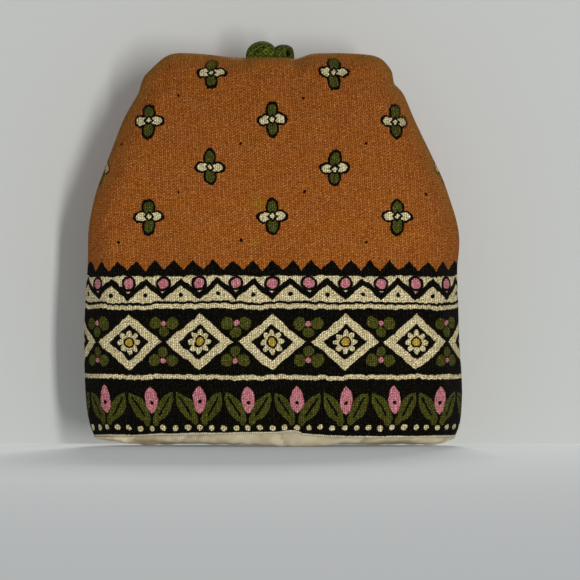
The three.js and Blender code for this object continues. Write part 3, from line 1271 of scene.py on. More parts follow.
@dataclass(frozen=True)
class Group:
    """A shader node group in the making: its tree, and its nodes for what goes in and out."""

    tree: NodeTree
    entry: Node
    exit: Node

    @classmethod
    def new(
        cls, name: str, inputs: dict[str, float], outputs: tuple[str, ...], kind: Kind = Kind.NUMBER
    ) -> "Group":
        """An empty group.

        Args:
            name: its name.
            inputs: its numbers in, and what each is where nothing is given.
            outputs: its outputs.
            kind: what they carry.

        Returns:
            The group.
        """
        tree = bpy.data.node_groups.new(name, "ShaderNodeTree")
        for label, usual in inputs.items():
            number = Kind.NUMBER.value
            socket = tree.interface.new_socket(label, in_out="INPUT", socket_type=number)
            socket.default_value = usual
        for label in outputs:
            tree.interface.new_socket(label, in_out="OUTPUT", socket_type=kind.value)
        return cls(tree, tree.nodes.new("NodeGroupInput"), tree.nodes.new("NodeGroupOutput"))

    def read(self, *labels: str) -> tuple[Signal, ...]:
        """Some of the group's inputs."""
        return tuple(Signal(self.tree, self.entry.outputs[label]) for label in labels)

    def give(self, label: str, value: Signal | Paint) -> None:
        """Puts a value out of the group."""
        self.tree.links.new(value.socket, self.exit.inputs[label])

    def place(self, x: Signal, y: Signal, z: float) -> NodeSocket:
        """A place for a noise to be read at."""
        node = self.tree.nodes.new("ShaderNodeCombineXYZ")
        for socket, value in zip(node.inputs, (x, y, z)):
            feed(self.tree, socket, value)
        return node.outputs[0]

    def noise(self, x: Signal, y: Signal, which: Slice, detail: float = 1.0) -> Signal:
        """Soft noise of about 0 to 1, whose lumps are 1 across.

        Args:
            x: places across.
            y: places along.
            which: which slice of the noise it is.
            detail: how many finer layers it has.

        Returns:
            The noise, with 0.5 in its middle.
        """
        node = self.tree.nodes.new("ShaderNodeTexNoise")
        node.inputs["Scale"].default_value = 1.0
        node.inputs["Detail"].default_value = detail
        self.tree.links.new(self.place(x, y, which.value), node.inputs["Vector"])
        return Signal(self.tree, node.outputs[0])

    def drift(self, x: Signal, y: Signal, which: Slice, detail: float = 1.0) -> Signal:
        """The same noise with 0 in its middle, so that it draws both ways."""
        return self.noise(x, y, which, detail) - 0.5

    def chance(self, x: Signal, y: Signal) -> Signal:
        """A number from -0.5 to 0.5 for each pair of whole numbers x and y."""
        node = self.tree.nodes.new("ShaderNodeTexWhiteNoise")
        node.noise_dimensions = "2D"
        self.tree.links.new(self.place(x, y, 0.0), node.inputs["Vector"])
        return Signal(self.tree, node.outputs["Value"]) - 0.5


# ---- what the cloths share -------------------------------


@dataclass(frozen=True)
class Weave:
    """Plain weave: warp and weft threads that pass over and under each other. In millimetres.

    Along a thread its crown is the sine of the way across it, and it dips where the next one
    crosses over it. Each thread has a tone of its own that drifts along it, as hand-spun threads
    have, and every second warp thread is darker. The speckle is each crossing's own lightness,
    its fibres', and painted light and shade on each crossing that slant with its twist.
    """

    pitch: float = 0.53  # from one warp thread to the next
    stretch: float = 0.8  # the same for the weft, as a share of the warp's
    lean: float = 0.06  # how far the warp leans over for each step up
    stray: float = 0.8  # how far the threads stray from straight
    stray_across: float = 14.0  # how soon neighbours stray differently
    stray_along: float = 26.0  # how soon a thread strays along its length
    full: float = 0.8  # the crown's power: under 1 it is fuller than a sine
    dip: float = 0.45  # how much of its height a thread loses where it is crossed
    tone: float = 1.6  # how much the threads' tones differ
    tone_along: float = 9.0  # how soon a thread's tone changes along its length
    tone_step: float = 3.7  # how far apart in the noise two neighbours' tones are
    second: float = 1.6  # how much darker every second warp thread is
    crossing: float = 0.36  # how much the crossings differ
    fibres: float = 1.6  # how much the fibres show
    fibre_count: float = 2.0  # how many of them there are across a thread
    twist: float = 0.09  # how much the painted light and shade on each crossing, which slant with its twist, show

    def group(self) -> NodeTree:
        """The weave as a node group.

        Returns:
            The group. Its outputs are Height, 0 to 1; Tone, about -1 to 1; Over, 1 where the warp
            lies on top; and Speckle, about -0.5 to 0.5.
        """
        inputs = {"Across": 0.0, "Along": 0.0, "Pitch": self.pitch, "Stretch": self.stretch}
        group = Group.new("weave", inputs, ("Height", "Tone", "Over", "Speckle"))
        across, along, pitch, stretch = group.read(*inputs)
        near, long = self.stray_across, self.stray_along
        wander = group.drift(across / near, along / long, Slice.WANDER)
        sag = group.drift(across / long, along / near, Slice.SAG)
        a = (across + along * self.lean + wander * self.stray) / pitch
        b = (along + sag * self.stray) / (pitch * stretch)
        i, j = a.math("FLOOR"), b.math("FLOOR")
        crown, ridge = abs((a * math.pi).math("SINE")), abs((b * math.pi).math("SINE"))
        warp_over = (i + j).math("FLOORED_MODULO", 2.0)
        warp = crown**self.full * (ridge * self.dip + (1.0 - self.dip))
        weft = ridge**self.full * (crown * self.dip + (1.0 - self.dip))
        group.give("Height", weft + (warp - weft) * warp_over)
        group.give("Over", warp_over)
        warps = group.drift(i * self.tone_step, along / self.tone_along, Slice.WARP)
        wefts = group.drift(across / self.tone_along, j * self.tone_step, Slice.WEFT)
        second = i.math("FLOORED_MODULO", 2.0) - 0.5
        group.give("Tone", (warps + wefts) * self.tone + second * self.second)
        fibres = group.drift(a * self.fibre_count, b * self.fibre_count, Slice.FIBRES, 0.0)
        # painted light on one side of each crossing and shade on the other, slanting with the twist
        twist = ((a + b) * math.pi).math("COSINE")
        crossing = group.chance(i, j) * self.crossing
        group.give("Speckle", crossing + fibres * self.fibres + twist * self.twist)
        return group.tree


@dataclass(frozen=True)
class InkEdge:
    """How a hand-cut screen and thick threads bend a print, in millimetres."""

    drift: float = 0.6  # how far the screen bends it, at most
    drift_length: float = 7.0  # how soon that changes
    bleed: float = 0.18  # how far it steps aside at each thread, at most
    bleed_length: float = 0.8  # how soon that changes

    def group(self) -> NodeTree:
        """The bend as a node group: Across and Along in, and the same out, bent."""
        inputs = {"Across": 0.0, "Along": 0.0, "Drift": self.drift, "Bleed": self.bleed}
        group = Group.new("ink edge", inputs, ("Across", "Along"))
        across, along, drift, bleed = group.read(*inputs)
        for label, place, slow, quick in (
            ("Across", across, Slice.DRIFT_ACROSS, Slice.BLEED_ACROSS),
            ("Along", along, Slice.DRIFT_ALONG, Slice.BLEED_ALONG),
        ):
            bend = group.drift(across / self.drift_length, along / self.drift_length, slow)
            step = group.drift(across / self.bleed_length, along / self.bleed_length, quick, 0.0)
            group.give(label, place + bend * drift * 2.0 + step * bleed * 2.0)
        return group.tree


@dataclass(frozen=True)
class Spot:
    """A small old stain: its place on the cloth and its size, in millimetres, and its depth."""

    across: float
    along: float
    size: float
    depth: float


@dataclass(frozen=True)
class WearAndLight:
    """Use, age and painted light: fading and painted sheen along the sewn edges, painted shade at
    the top and the right edge, yellowed patches and two small old spots.

    A place on the cloth is in millimetres across and along it. A pair is a ramp: where it starts,
    and how long it takes to rise from 0 to 1.
    """

    rough_length: float = 5.0  # how soon the worn and painted marks change from place to place
    sheen_fade_ramp: Point = (50.0, 20.0)  # the ramp up the cloth over which its edges are faded and take a painted sheen
    sheen_fade_reach: float = 5.0  # how far in from the seam the fading and painted sheen go where they are deepest
    sheen_fade_least: float = 0.8  # how far in it goes everywhere
    top_shade: Point = (62.0, 45.0)  # the ramp up the cloth of the painted shade towards the top
    right: Point = (28.0, 16.0)  # the ramp across the cloth of the painted shade at the right edge
    right_shade_reach: float = 14.0  # how far in from the seam that goes
    painted_shade: Point = (0.8, 0.75)  # how deep the two are
    shade_rough: float = 0.4  # how much the painted shade changes from place to place
    patch_size: Point = (9.0, 6.0)  # how far apart the yellowed patches are, across and along
    # how sharp their edges are, and how much of the noise is left out
    patch_edge: Point = (3.0, 1.1)
    spots: tuple[Spot, Spot] = (Spot(-3.8, 64.5, 2.6, 1.0), Spot(-4.1, 54.0, 2.0, 0.7))
    spot_least: float = 0.3  # how much of them is left where the cloth is least rubbed

    def group(self) -> NodeTree:
        """The worn and painted marks as a node group, whose outputs are masks: Fade, PaintedShade,
        Patch and Stain.
        """
        inputs = {"Seam": 0.0, "Across": 0.0, "Along": 0.0}
        group = Group.new("wear_and_light", inputs, ("Fade", "PaintedShade", "Patch", "Stain"))
        seam, across, along = group.read(*inputs)
        size = self.rough_length
        rough = group.noise(across / size, along / size, Slice.RUBBED, 2.0)
        # fading, with a painted sheen, along the sewn edges of the cloth's upper part
        fade = (1.0 - seam / (rough * self.sheen_fade_reach + self.sheen_fade_least)).clamped()
        group.give("Fade", fade * along.ramp(*self.sheen_fade_ramp))
        # painted shade towards the top and along the right edge
        right = across.ramp(*self.right) * (1.0 - seam / self.right_shade_reach).clamped()
        painted_shade = along.ramp(*self.top_shade) * self.painted_shade[0] + right * self.painted_shade[1]
        uneven = rough * self.shade_rough + (1.0 - 0.5 * self.shade_rough)
        group.give("PaintedShade", painted_shade.math("MINIMUM", 1.0) * uneven)
        wide, high = self.patch_size
        patches = group.noise(across / wide, along / high, Slice.PATCHES, 2.0)
        sharp, left_out = self.patch_edge
        group.give("Patch", (patches * sharp - left_out).clamped())
        first, second = (
            (1.0 - far(across - spot.across, along - spot.along) / spot.size).clamped() * spot.depth
            for spot in self.spots
        )
        group.give("Stain", (first + second) * (rough + self.spot_least))
        return group.tree


@dataclass(frozen=True)
class Border:
    """The generic border print: where its friezes lie up the cloth, and how they repeat.

    Sizes are in millimetres. A motif is drawn from its own middle: the distance from a point, less
    a radius, is a disc, and folding a side over with its absolute value draws a pair of them.
    """

    hem_band: float = 4.7  # the top of the plain black band along the hem
    garland: float = 17.0  # the top of the leaf garland
    stripe: float = 2.6  # the height of a narrow stripe between two friezes
    lozenges: float = 35.6  # the top of the lozenge frieze
    zigzag: float = 46.6  # the top of the zigzag frieze
    teeth: float = 2.6  # the height of the saw edge above it
    garland_period: float = 13.0  # the garland's repeat
    lozenge_period: float = 19.2  # the lozenges' repeat
    zigzag_period: float = 9.6  # the zigzag's repeat
    tooth_period: float = 5.2  # the saw edge's repeat
    sprig_period: Point = (33.0, 26.0)  # the repeat of the sprigs on the rust field, across and up
    sprig_start: float = 11.5  # how far above the saw edge their first row is
    sprig_clear: float = 3.0  # how far above the saw edge the rust field stays plain
    line: float = 0.85  # the width of a sprig's outline
    band_gap: float = 1.6  # from the zigzag's cream frieze up to the saw edge
    stripe_gap: float = 0.75  # from a narrow stripe to the friezes on both sides of it
    soft: float = 0.2  # how soft a frieze's edges are

    def group(self) -> NodeTree:
        """The design as a node group: Across and Along in millimetres in, and Color out."""
        inputs = {"Across": 0.0, "Along": 0.0}
        group = Group.new("border print", inputs, ("Color",), Kind.COLOUR)
        u, v = group.read(*inputs)
        paint = mixed(self.saw(u, v), Ink.RUST, Ink.BLACK)
        for motifs in (self.sprigs, self.zigzags, self.lozenge_row, self.leaf_garland):
            paint = motifs(paint, u, v)
        group.give("Color", paint)
        return group.tree

    def saw(self, u: Signal, v: Signal) -> Signal:
        """Everything under the saw edge, whose teeth point up into the rust field."""
        tooth = 1.0 - abs(u.wrapped(self.tooth_period)) * (2.0 / self.tooth_period)
        return inked(v - self.zigzag - tooth * self.teeth, self.soft)

    def sprigs(self, paint: Paint, u: Signal, v: Signal) -> Paint:
        """Small four-leaved sprigs, half-dropped over the rust field, with specks between them."""
        wide, high = self.sprig_period
        start = self.zigzag + self.teeth + self.sprig_start
        field = (v - (self.zigzag + self.teeth + self.sprig_clear)).clamped()
        for shift in (0.0, 0.5):
            x = (u + shift * wide).wrapped(wide)
            y = (v - start + shift * high).wrapped(high)
            petal = far(abs(x) - 2.0, abs(y) * 1.35) - 1.45
            stem = far(abs(x) * 1.35, abs(y) - 2.4) - 1.7
            heart = abs(x) + abs(y) - 1.0
            ring = petal.math("MINIMUM", stem) - self.line
            paint = paint.printed(
                (Ink.BLACK, inked(ring)),
                (Ink.CREAM, inked(petal)),
                (Ink.OLIVE, inked(stem)),
                (Ink.BLACK, inked(heart - 0.55)),
                (Ink.CREAM, inked(heart + 0.25)),
                inside=field,
            )
            speck_x = (u + shift * wide + 0.25 * wide).wrapped(wide)
            speck_y = (v - start + 0.25 * high + shift * high).wrapped(high)
            tick = far(speck_x.math("PINGPONG", 1.3), speck_y) - 0.42
            paint = paint.under(Ink.BLACK, inked(tick) * field * inked(abs(speck_x) - 2.2))
        return paint

    def zigzags(self, paint: Paint, u: Signal, v: Signal) -> Paint:
        """A cream frieze under the saw edge: a thick black zigzag, with a berry in each bend."""
        low, high = self.lozenges + self.stripe, self.zigzag - self.band_gap
        middle, half = 0.5 * (low + high), 0.5 * (high - low)
        period = self.zigzag_period
        inside = v.between(low, high, self.soft)
        paint = paint.under(Ink.CREAM, inside)
        x, side = u.wrapped(period), (u + 0.5 * period).wrapped(period)
        wave = (abs(x) * (4.0 / period) - 1.0) * (half - 1.3)
        paint = paint.under(Ink.BLACK, inked((abs(v - middle - wave) - 1.0) * 0.75) * inside)
        bend = far(x, v - (middle + 0.42 * half)) - 1.35
        dip = far(side, v - (middle - 0.42 * half)) - 0.6
        paint = paint.under(Ink.BLACK, inked((bend - 0.75).math("MINIMUM", dip)))
        return paint.under(Ink.PINK, inked(bend))

    def lozenge_row(self, paint: Paint, u: Signal, v: Signal) -> Paint:
        """A black frieze of cream lozenges, a star in each, and olive trefoils between them."""
        low, high = self.garland + self.stripe, self.lozenges
        middle, half = 0.5 * (low + high), 0.5 * (high - low)
        period = self.lozenge_period
        paint = self.striped(paint, v, self.lozenges)
        x, y = u.wrapped(period), v - middle
        inside = v.between(low, high, self.soft)
        slope = abs(x) * (2.0 / period) + abs(y) * (1.0 / half)
        paint = paint.under(Ink.CREAM, inked((slope - 0.93) * 5.6) * inside)
        paint = paint.under(Ink.BLACK, inked((slope - 0.60) * 5.6))
        turn = y.math("ARCTAN2", x)
        reach = far(x, y)
        star = reach - (abs((turn * 4.0).math("COSINE")) ** 0.8 * 1.5 + 1.7)
        paint = paint.under(Ink.CREAM, inked(star))
        paint = paint.under(Ink.BLACK, inked(reach - 1.55))
        paint = paint.under(Ink.MUSTARD, inked(reach - 1.0))
        side = (u + 0.5 * period).wrapped(period)
        rise = abs(y) - (half - 3.1)
        leaf = far(abs(side) - 2.3, rise) - 1.6
        tip = far(side, rise + 2.3) - 1.35
        paint = paint.under(Ink.OLIVE, inked(leaf.math("MINIMUM", tip)) * inside)
        return paint.under(Ink.PINK, inked(far(side, rise) - 0.7) * inside)

    def leaf_garland(self, paint: Paint, u: Signal, v: Signal) -> Paint:
        """A black frieze of olive leaves in pairs, pink buds between them, and beads at the hem."""
        period = self.garland_period
        paint = self.striped(paint, v, self.garland)
        x = u.wrapped(period)
        inside = v.between(-20.0, self.garland, self.soft)
        across, up = abs(x) - 3.1, v - 10.2
        long = across * -0.53 + up * 0.85
        wide = across * 0.85 + up * 0.53
        leaf = far(abs(wide) + 4.6, long) - 6.6
        vein = inked(abs(wide) - 0.28) * inked(abs(long) - 3.4)
        side = (u + 0.5 * period).wrapped(period)
        bud = far(abs(side) + 1.4, (v - 12.3) * 0.75) - 3.1
        foot = far(abs(side) - 1.3, (v - 7.0) * 0.6) - 0.95
        paint = paint.printed(
            (Ink.OLIVE, inked(leaf)),
            (Ink.BLACK, vein),
            (Ink.PINK, inked(bud)),
            (Ink.BLACK, inked(far(side, v - 11.6) - 0.55)),
            (Ink.OLIVE, inked(foot)),
            inside=inside,
        )
        bead = far(u.wrapped(period / 4.0), v - (self.hem_band + 0.1)) - 0.75
        return paint.under(Ink.CREAM, inked(bead))

    def striped(self, paint: Paint, v: Signal, low: float) -> Paint:
        """A narrow cream stripe, just above a frieze."""
        high = low + self.stripe - self.stripe_gap
        return paint.under(Ink.CREAM, v.between(low + self.stripe_gap, high, self.soft))


# ---- finishes --------------------------------------------


@dataclass(frozen=True)
class Feel:
    """How matt a cloth is, and how its threads stand out."""

    roughness: float  # the shader's roughness
    sheen: float  # its sheen weight
    thread: float  # how far the threads stand out, in millimetres
    strength: float  # how strongly the bump shows them


@dataclass(frozen=True)
class Finish:
    """A cloth's material in the making: its tree, its shader, and the place on the cloth."""

    material: Material
    tree: NodeTree
    shader: Node
    feel: Feel
    across: Signal
    along: Signal

    @classmethod
    def new(cls, name: str, feel: Feel) -> "Finish":
        """An undyed cloth material.

        Args:
            name: its name.
            feel: how the cloth feels.

        Returns:
            The finish.
        """
        material = bpy.data.materials.new(name)
        material.use_nodes = True
        tree = material.node_tree
        shader = tree.nodes["Principled BSDF"]
        shader.inputs["Roughness"].default_value = feel.roughness
        shader.inputs["Specular IOR Level"].default_value = 0.03
        shader.inputs["Sheen Weight"].default_value = feel.sheen
        shader.inputs["Sheen Roughness"].default_value = 0.6
        place = tree.nodes.new("ShaderNodeUVMap")
        place.uv_map = CLOTH_MAP
        split = tree.nodes.new("ShaderNodeSeparateXYZ")
        tree.links.new(place.outputs["UV"], split.inputs[0])
        across, along = (Signal(tree, split.outputs[axis]) for axis in (0, 1))
        return cls(material, tree, shader, feel, across, along)

    def use(self, group: NodeTree, **values: Signal | float) -> dict[str, Signal]:
        """Places a shared group in the material.

        Args:
            group: the group.
            values: its inputs, by name; the place on the cloth where they don't say another.

        Returns:
            The group's outputs, by name.
        """
        node = self.tree.nodes.new("ShaderNodeGroup")
        node.node_tree = group
        for label, value in {"Across": self.across, "Along": self.along, **values}.items():
            feed(self.tree, node.inputs[label], value)
        return {socket.name: Signal(self.tree, socket) for socket in node.outputs}

    def mark(self, mark: Mark) -> Signal:
        """A value that the mesh carries."""
        node = self.tree.nodes.new("ShaderNodeAttribute")
        node.attribute_name = mark.value
        return Signal(self.tree, node.outputs["Fac"])

    def done(self, paint: Paint, height: Signal) -> Material:
        """Puts the colour on the shader, and raises the threads.

        Args:
            paint: the colour.
            height: the threads' height, from 0 to 1.

        Returns:
            The finished material.
        """
        self.tree.links.new(paint.socket, self.shader.inputs["Base Color"])
        node = self.tree.nodes.new("ShaderNodeBump")
        node.inputs["Distance"].default_value = self.feel.thread * MM
        node.inputs["Strength"].default_value = self.feel.strength
        feed(self.tree, node.inputs["Height"], height)
        self.tree.links.new(node.outputs["Normal"], self.shader.inputs["Normal"])
        return self.material


@dataclass(frozen=True)
class Shared:
    """The groups that the cloths share, made once."""

    weave: NodeTree
    ink_edge: NodeTree
    wear_and_light: NodeTree

    @classmethod
    def new(cls) -> "Shared":
        """Builds the groups."""
        return cls(Weave().group(), InkEdge().group(), WearAndLight().group())


@dataclass(frozen=True)
class PrintedCotton:
    """The panels' cloth: slubby open cotton, screen printed, a little stained, faded with painted
    sheen at its edges, and with painted shade at its top and right edge.

    The threads' relief is worked out as a number of about -0.5 to 0.5, from their tones and height.
    Where it stands proud the colour is paler and lighter, and the more so the lighter the ink is:
    painted highlights on the crowns, and painted shade between them.
    """

    border: Border = Border()
    feel: Feel = Feel(0.95, 0.01, 0.16, 0.7)
    # how far below and above the face's edge the hem's fold shows undyed
    fold: Point = (-1.5, 0.12)
    fold_soft: float = 0.16  # how soft the ends of that are
    fold_bend: float = 0.5  # how much of the print's own unevenness they have
    fold_worn: float = 0.6  # how much of the threads' relief the fold has lost
    tone: float = 0.08  # how much the threads' tones show
    weft: float = 0.34  # how much lighter the weft is than the warp
    crown: float = 1.3  # how much lighter a thread's crown is painted than its sides: a painted highlight
    middle: float = 0.76  # what brings the relief's mean to about 0
    rich: float = 0.42  # how much paler the ink is on the crowns, and how much deeper between them
    # how much lighter the crowns are for the cloth's own lightness, and how much besides
    bare: Point = (2.2, 0.05)
    level: float = 0.955  # the cloth's lightness where the relief is 0
    painted_shade: float = 0.24  # how dark the painted shade at the top and the right edge is
    fade: float = 0.5  # how much of the ink the fading and painted sheen take
    stain: float = 0.42  # how deep the spots are

    def material(self, shared: Shared) -> Material:
        """Makes the material."""
        cloth = Finish.new("printed cotton", self.feel)
        bent = cloth.use(shared.ink_edge)
        weave = cloth.use(shared.weave)
        wear_and_light = cloth.use(shared.wear_and_light, Seam=cloth.mark(Mark.SEAM))
        paint = Paint(cloth.tree, cloth.use(self.border.group(), **bent)["Color"].socket)
        hem = cloth.mark(Mark.HEM) + (bent["Along"] - cloth.along) * self.fold_bend
        fold = hem.between(*self.fold, self.fold_soft)
        paint = paint.under(Dye.HEM_FOLD, fold)
        threads = weave["Tone"] * self.tone + weave["Speckle"] + (0.5 - weave["Over"]) * self.weft
        # the threads' own tones, with a painted highlight on their crowns and painted shade between
        # them
        relief = threads + weave["Height"] * self.crown - self.middle
        relief = relief * (1.0 - fold * self.fold_worn)
        bare = paint.lightness() * self.bare[0] + self.bare[1]
        paint = paint.toned(1.0 - relief * self.rich).lit(relief * bare + self.level)
        # painted shade towards the top and at the right edge
        paint = paint.lit(1.0 - wear_and_light["PaintedShade"] * self.painted_shade)
        # fading and painted sheen along the sewn edges
        paint = paint.under(Dye.FADED, wear_and_light["Fade"] * self.fade)
        paint = paint.under(Dye.STAINED, wear_and_light["Stain"] * self.stain)
        return cloth.done(paint, weave["Height"])


@dataclass(frozen=True)
class LiningCotton:
    """The lining's cloth: fine smooth cream cotton, yellowed in soft patches, with painted shade in
    its pleats, painted light at its left end and painted highlights on its threads.
    """

    feel: Feel = Feel(0.8, 0.1, 0.06, 0.5)
    pitch: float = 0.3  # from one thread to the next, in millimetres
    seam: float = 40.0  # how far from a sewn edge it is taken to lie, so that none of the fading, painted sheen and painted shade of the edges reaches it
    pleat: float = 0.7  # how deep the pleats' shade is
    # the ramp across the cloth, from the middle to the left, of the painted light at its left
    # corner
    lit_corner: Point = (38.0, 6.0)
    corner_light: float = 0.42  # how much lighter that corner is painted
    # how much of the slow painted lightening from the middle to the left there is in a millimetre
    left: float = 0.025
    left_light: float = 0.13  # how much lighter that painted light makes the cloth
    tone: float = 0.02  # how much the threads' tones show
    crown: float = 0.1  # how much lighter a thread's crown is painted: a painted highlight
    level: float = 0.93  # the cloth's lightness besides

    def material(self, shared: Shared) -> Material:
        """Makes the material."""
        cloth = Finish.new("lining cotton", self.feel)
        weave = cloth.use(shared.weave, Pitch=self.pitch, Stretch=1.0)
        wear_and_light = cloth.use(shared.wear_and_light, Seam=self.seam)
        paint = mixed(wear_and_light["Patch"], Dye.CREAM, Dye.YELLOWED)
        # painted shade in the pleats
        paint = paint.under(Dye.PLEAT, cloth.mark(Mark.SHADE) * self.pleat)
        # painted light at the left corner and towards the left
        lit_corner = (cloth.across * -1.0).ramp(*self.lit_corner) * self.corner_light
        left = (cloth.across * -self.left).clamped() * self.left_light
        # the threads' own tones, with a painted highlight on their crowns
        threads = weave["Tone"] * self.tone + weave["Height"] * self.crown
        paint = paint.lit(threads + lit_corner + left + self.level)
        return cloth.done(paint, weave["Height"])


@dataclass(frozen=True)
class GreenCotton:
    """The loop's cloth: green cotton cut on the cross, so that its threads run slantwise, with
    painted light and shade on its threads and painted shade in its hollow.
    """

    feel: Feel = Feel(0.95, 0.01, 0.2, 0.9)
    pitch: float = 0.5  # from one thread to the next, in millimetres
    crown: float = 0.8  # how much of the painted lit green a thread's crown gets
    tone: float = 0.2  # how much the threads' tones show
    speckle: float = 1.6  # how much their crossings differ
    hollow: float = 1.5  # how dark the painted shade in the hollow is

    def material(self, shared: Shared) -> Material:
        """Makes the material."""
        cloth = Finish.new("green cotton", self.feel)
        slant = math.sqrt(0.5)
        up, down = (cloth.across + cloth.along) * slant, (cloth.along - cloth.across) * slant
        weave = cloth.use(shared.weave, Across=up, Along=down, Pitch=self.pitch, Stretch=1.0)
        # painted shade between the threads, and painted light on their crowns
        paint = mixed(weave["Height"] * self.crown, Dye.DEEP_GREEN, Dye.GREEN)
        paint = paint.lit(weave["Tone"] * self.tone + weave["Speckle"] * self.speckle + 1.0)
        # painted shade in the hollow beside the right leg's end
        paint = paint.under(Dye.HOLLOW, (cloth.mark(Mark.SHADE) * self.hollow).clamped())
        return cloth.done(paint, weave["Height"])


# ---- the studio ------------------------------------------


def one_sided_paint(name: str, colour: Colour, glow: float) -> Material:
    """A matt paint that is only there as seen from its front, so that it hides nothing behind it.

    Args:
        name: the material's name.
        colour: the paint's colour.
        glow: how much light it gives off by itself, as a lit table top does.

    Returns:
        The material.
    """
    material = bpy.data.materials.new(name)
    material.use_nodes = True
    nodes, links = material.node_tree.nodes, material.node_tree.links
    paint = nodes["Principled BSDF"]
    paint.inputs["Base Color"].default_value = (*colour, 1.0)
    paint.inputs["Roughness"].default_value = 1.0
    paint.inputs["Specular IOR Level"].default_value = 0.0
    paint.inputs["Emission Color"].default_value = (*colour, 1.0)
    paint.inputs["Emission Strength"].default_value = glow
    side = nodes.new("ShaderNodeNewGeometry")
    clear = nodes.new("ShaderNodeBsdfTransparent")
    mix = nodes.new("ShaderNodeMixShader")
    links.new(side.outputs["Backfacing"], mix.inputs["Fac"])
    links.new(paint.outputs["BSDF"], mix.inputs[1])
    links.new(clear.outputs["BSDF"], mix.inputs[2])
    links.new(mix.outputs["Shader"], nodes["Material Output"].inputs["Surface"])
    return material


@dataclass(frozen=True)
class Lamp:
    """A soft rectangular lamp, in metres and watts."""

    name: str
    place: Place  # its middle
    size: Point  # its width and height
    power: float
    colour: Colour

    def hang(self, aim: Place) -> None:
        """Makes the lamp, turned to its aim."""
        data = bpy.data.lights.new(self.name, "AREA")
        data.shape = "RECTANGLE"
        data.size, data.size_y = self.size
        data.energy = self.power
        data.color = self.colour
        lamp = bpy.data.objects.new(self.name, data)
        bpy.context.scene.collection.objects.link(lamp)
        lamp.location = self.place
        lamp.rotation_euler = (Vector(aim) - Vector(self.place)).to_track_quat("-Z", "Y").to_euler()


@dataclass(frozen=True)
class Studio:
    """The camera, the lights and the plain pale floor and wall, in metres.

    The wall stands close behind the cosy, as a table top lies close under it where it lies down.
    Neither board casts a shadow, so neither keeps light from the back or the underside.
    """

    aim: Point = (0.00464, 0.0413)  # where the camera looks, (x, z), on the plane of the seam
    view_width: float = 0.1537  # how much of that plane the picture takes in
    distance: float = 1.6  # from the camera to that plane
    sensor: float = 36.0  # the camera's sensor width, in millimetres
    wall_y: float = 0.024  # where the wall stands
    wall_size: Point = (0.6, 0.5)  # half its width, and its height
    floor_half: float = 1.6  # half the floor's length and width
    wall_paint: Colour = (0.447, 0.458, 0.45)  # the wall's colour
    floor_paint: Colour = (0.425, 0.434, 0.431)  # the floor's
    wall_glow: float = 0.05  # how much light the wall gives off
    floor_glow: float = 0.3  # how much the floor does, so that no black line shows under the hem
    surroundings: Colour = (0.93, 0.97, 1.0)  # the colour of the light from all round
    glow: float = 0.5  # the strength of that light
    lamp_aim: Place = (0.0, 0.0, 0.05)  # where the lamps are turned to
    # the key lamp, a tall strip at the front right, and the soft one behind
    lamps: tuple[Lamp, ...] = (
        Lamp("key", (0.99, -2.82, 0.05), (0.225, 1.5), 65.0, (1.0, 0.98, 0.95)),
        Lamp("back light", (0.1, 1.2, 0.7), (0.36, 0.3), 21.0, (1.0, 0.99, 0.97)),
    )

    def camera(self) -> None:
        """Makes the camera: level, and square on to the front panel."""
        data = bpy.data.cameras.new("camera")
        data.sensor_width = self.sensor
        data.lens = self.sensor * self.distance / self.view_width
        data.clip_start, data.clip_end = 0.01, 20.0
        camera = bpy.data.objects.new("camera", data)
        bpy.context.scene.collection.objects.link(camera)
        camera.location = (self.aim[0], -self.distance, self.aim[1])
        camera.rotation_euler = (math.radians(90.0), 0.0, 0.0)
        bpy.context.scene.camera = camera

    def board(self, name: str, corners: Array, paint: Colour, glow: float) -> None:
        """A flat board that faces the way its four corners go round, and casts no shadow."""
        mesh = bpy.data.meshes.new(name)
        mesh.from_pydata(corners.tolist(), [], [(0, 1, 2, 3)])
        mesh.materials.append(one_sided_paint(f"{name} paint", paint, glow))
        board = bpy.data.objects.new(name, mesh)
        bpy.context.scene.collection.objects.link(board)
        board.visible_shadow = False

    def backdrop(self) -> None:
        """Makes the floor and the wall."""
        f, y = self.floor_half, self.wall_y
        w, h = self.wall_size
        floor = np.array([(-f, -f, 0), (f, -f, 0), (f, f, 0), (-f, f, 0)])
        wall = np.array([(-w, y, 0), (w, y, 0), (w, y, h), (-w, y, h)])
        self.board("floor", floor, self.floor_paint, self.floor_glow)
        self.board("wall", wall, self.wall_paint, self.wall_glow)

    def light(self) -> None:
        """Hangs the lamps, sets the light from all round, and keeps the colours as they are."""
        world = bpy.data.worlds.new("surroundings")
        world.use_nodes = True
        sky = world.node_tree.nodes["Background"]
        sky.inputs["Color"].default_value = (*self.surroundings, 1.0)
        sky.inputs["Strength"].default_value = self.glow
        bpy.context.scene.world = world
        for lamp in self.lamps:
            lamp.hang(self.lamp_aim)
        settings = bpy.context.scene.view_settings
        settings.view_transform = "Standard"
        settings.look = "None"

    def build(self) -> None:
        """Makes all of it, in order."""
        self.camera()
        self.backdrop()
        self.light()


# ---- the cosy --------------------------------------------

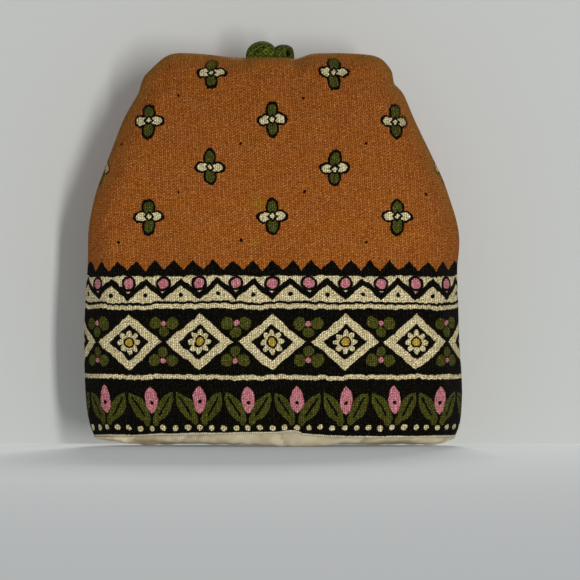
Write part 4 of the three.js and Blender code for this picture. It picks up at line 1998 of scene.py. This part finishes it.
SHOULDERS = (
    Crease(((-35.5, 94.6), (-30.0, 95.4), (-22.0, 96.6)), 0.6, 1.5, 0.35),
    Crease(((32.2, 96.0), (27.0, 97.0), (19.0, 97.6)), 0.6, 1.5, 0.35),
)
TUCK = Crease(((4.6, 102.6), (5.6, 101.8), (6.2, 100.6)), 0.7, 0.7, 0.3)
FRONT_EDGE = (
    (-47.4, 2.1), (-45.6, 1.7), (-42.0, 1.2), (-38.2, 0.7), (-36.6, 1.1), (-32.0, 1.3),
    (-27.0, 1.2), (-20.0, 1.1), (-8.0, 0.8), (0.0, 0.45), (5.0, 0.05), (11.0, 0.12), (19.6, 0.85),
    (28.6, 0.95), (34.0, 1.15), (41.0, 0.9), (45.0, 0.4), (47.0, 0.9), (48.5, 1.95),
)
BACK_EDGE = (
    (-47.4, 2.1), (-45.6, 1.6), (-42.0, 0.7), (-36.0, 0.1), (-22.0, 0.25), (-8.0, 0.05),
    (10.0, 0.3), (26.0, 0.1), (38.0, 0.25), (45.0, 0.3), (47.0, 0.9), (48.5, 1.95),
)
FRONT_PLEATS = (
    Pleat(-38.3, -36.0, 0.8, 5.0, 3.0),
    Pleat(-24.5, -22.6, 0.4),
    Pleat(3.4, 1.6, 0.45, 5.0, 2.5),
    Pleat(22.5, 24.0, 0.35),
    Pleat(42.6, 46.2, 0.6, 2.0, 1.5),
)
BACK_PLEATS = (
    Pleat(-30.0, -28.2, 0.4),
    Pleat(-3.0, -4.5, 0.35),
    Pleat(33.0, 34.8, 0.5, 4.0, 3.0),
)


def main() -> None:
    """Makes the stage, the finishes and the cosy's pieces in order, and reports each piece."""
    logging.basicConfig(level=logging.INFO, format="%(message)s")
    Studio().build()
    front = Panel("front_panel", "panel_front", Facing.FRONT, (*SHOULDERS, TUCK), seed=11)
    back = Panel("back_panel", "panel_back", Facing.BACK, SHOULDERS, seed=23)
    linings = (
        Lining("front_lining", "lining_front", front, FRONT_EDGE, seed=31, pleats=FRONT_PLEATS),
        Lining("back_lining", "lining_back", back, BACK_EDGE, seed=47, pleats=BACK_PLEATS),
    )
    parts = (front, back, *linings, Loop("loop_tube", "loop"))
    shared = Shared.new()
    printed, cream = PrintedCotton().material(shared), LiningCotton().material(shared)
    green = GreenCotton().material(shared)
    for part, finish in zip(parts, (printed, printed, cream, cream, green)):
        piece = part.build(finish)
        log.info("%s: %d points", piece.name, len(piece.data.vertices))


if __name__ == "__main__":
    main()
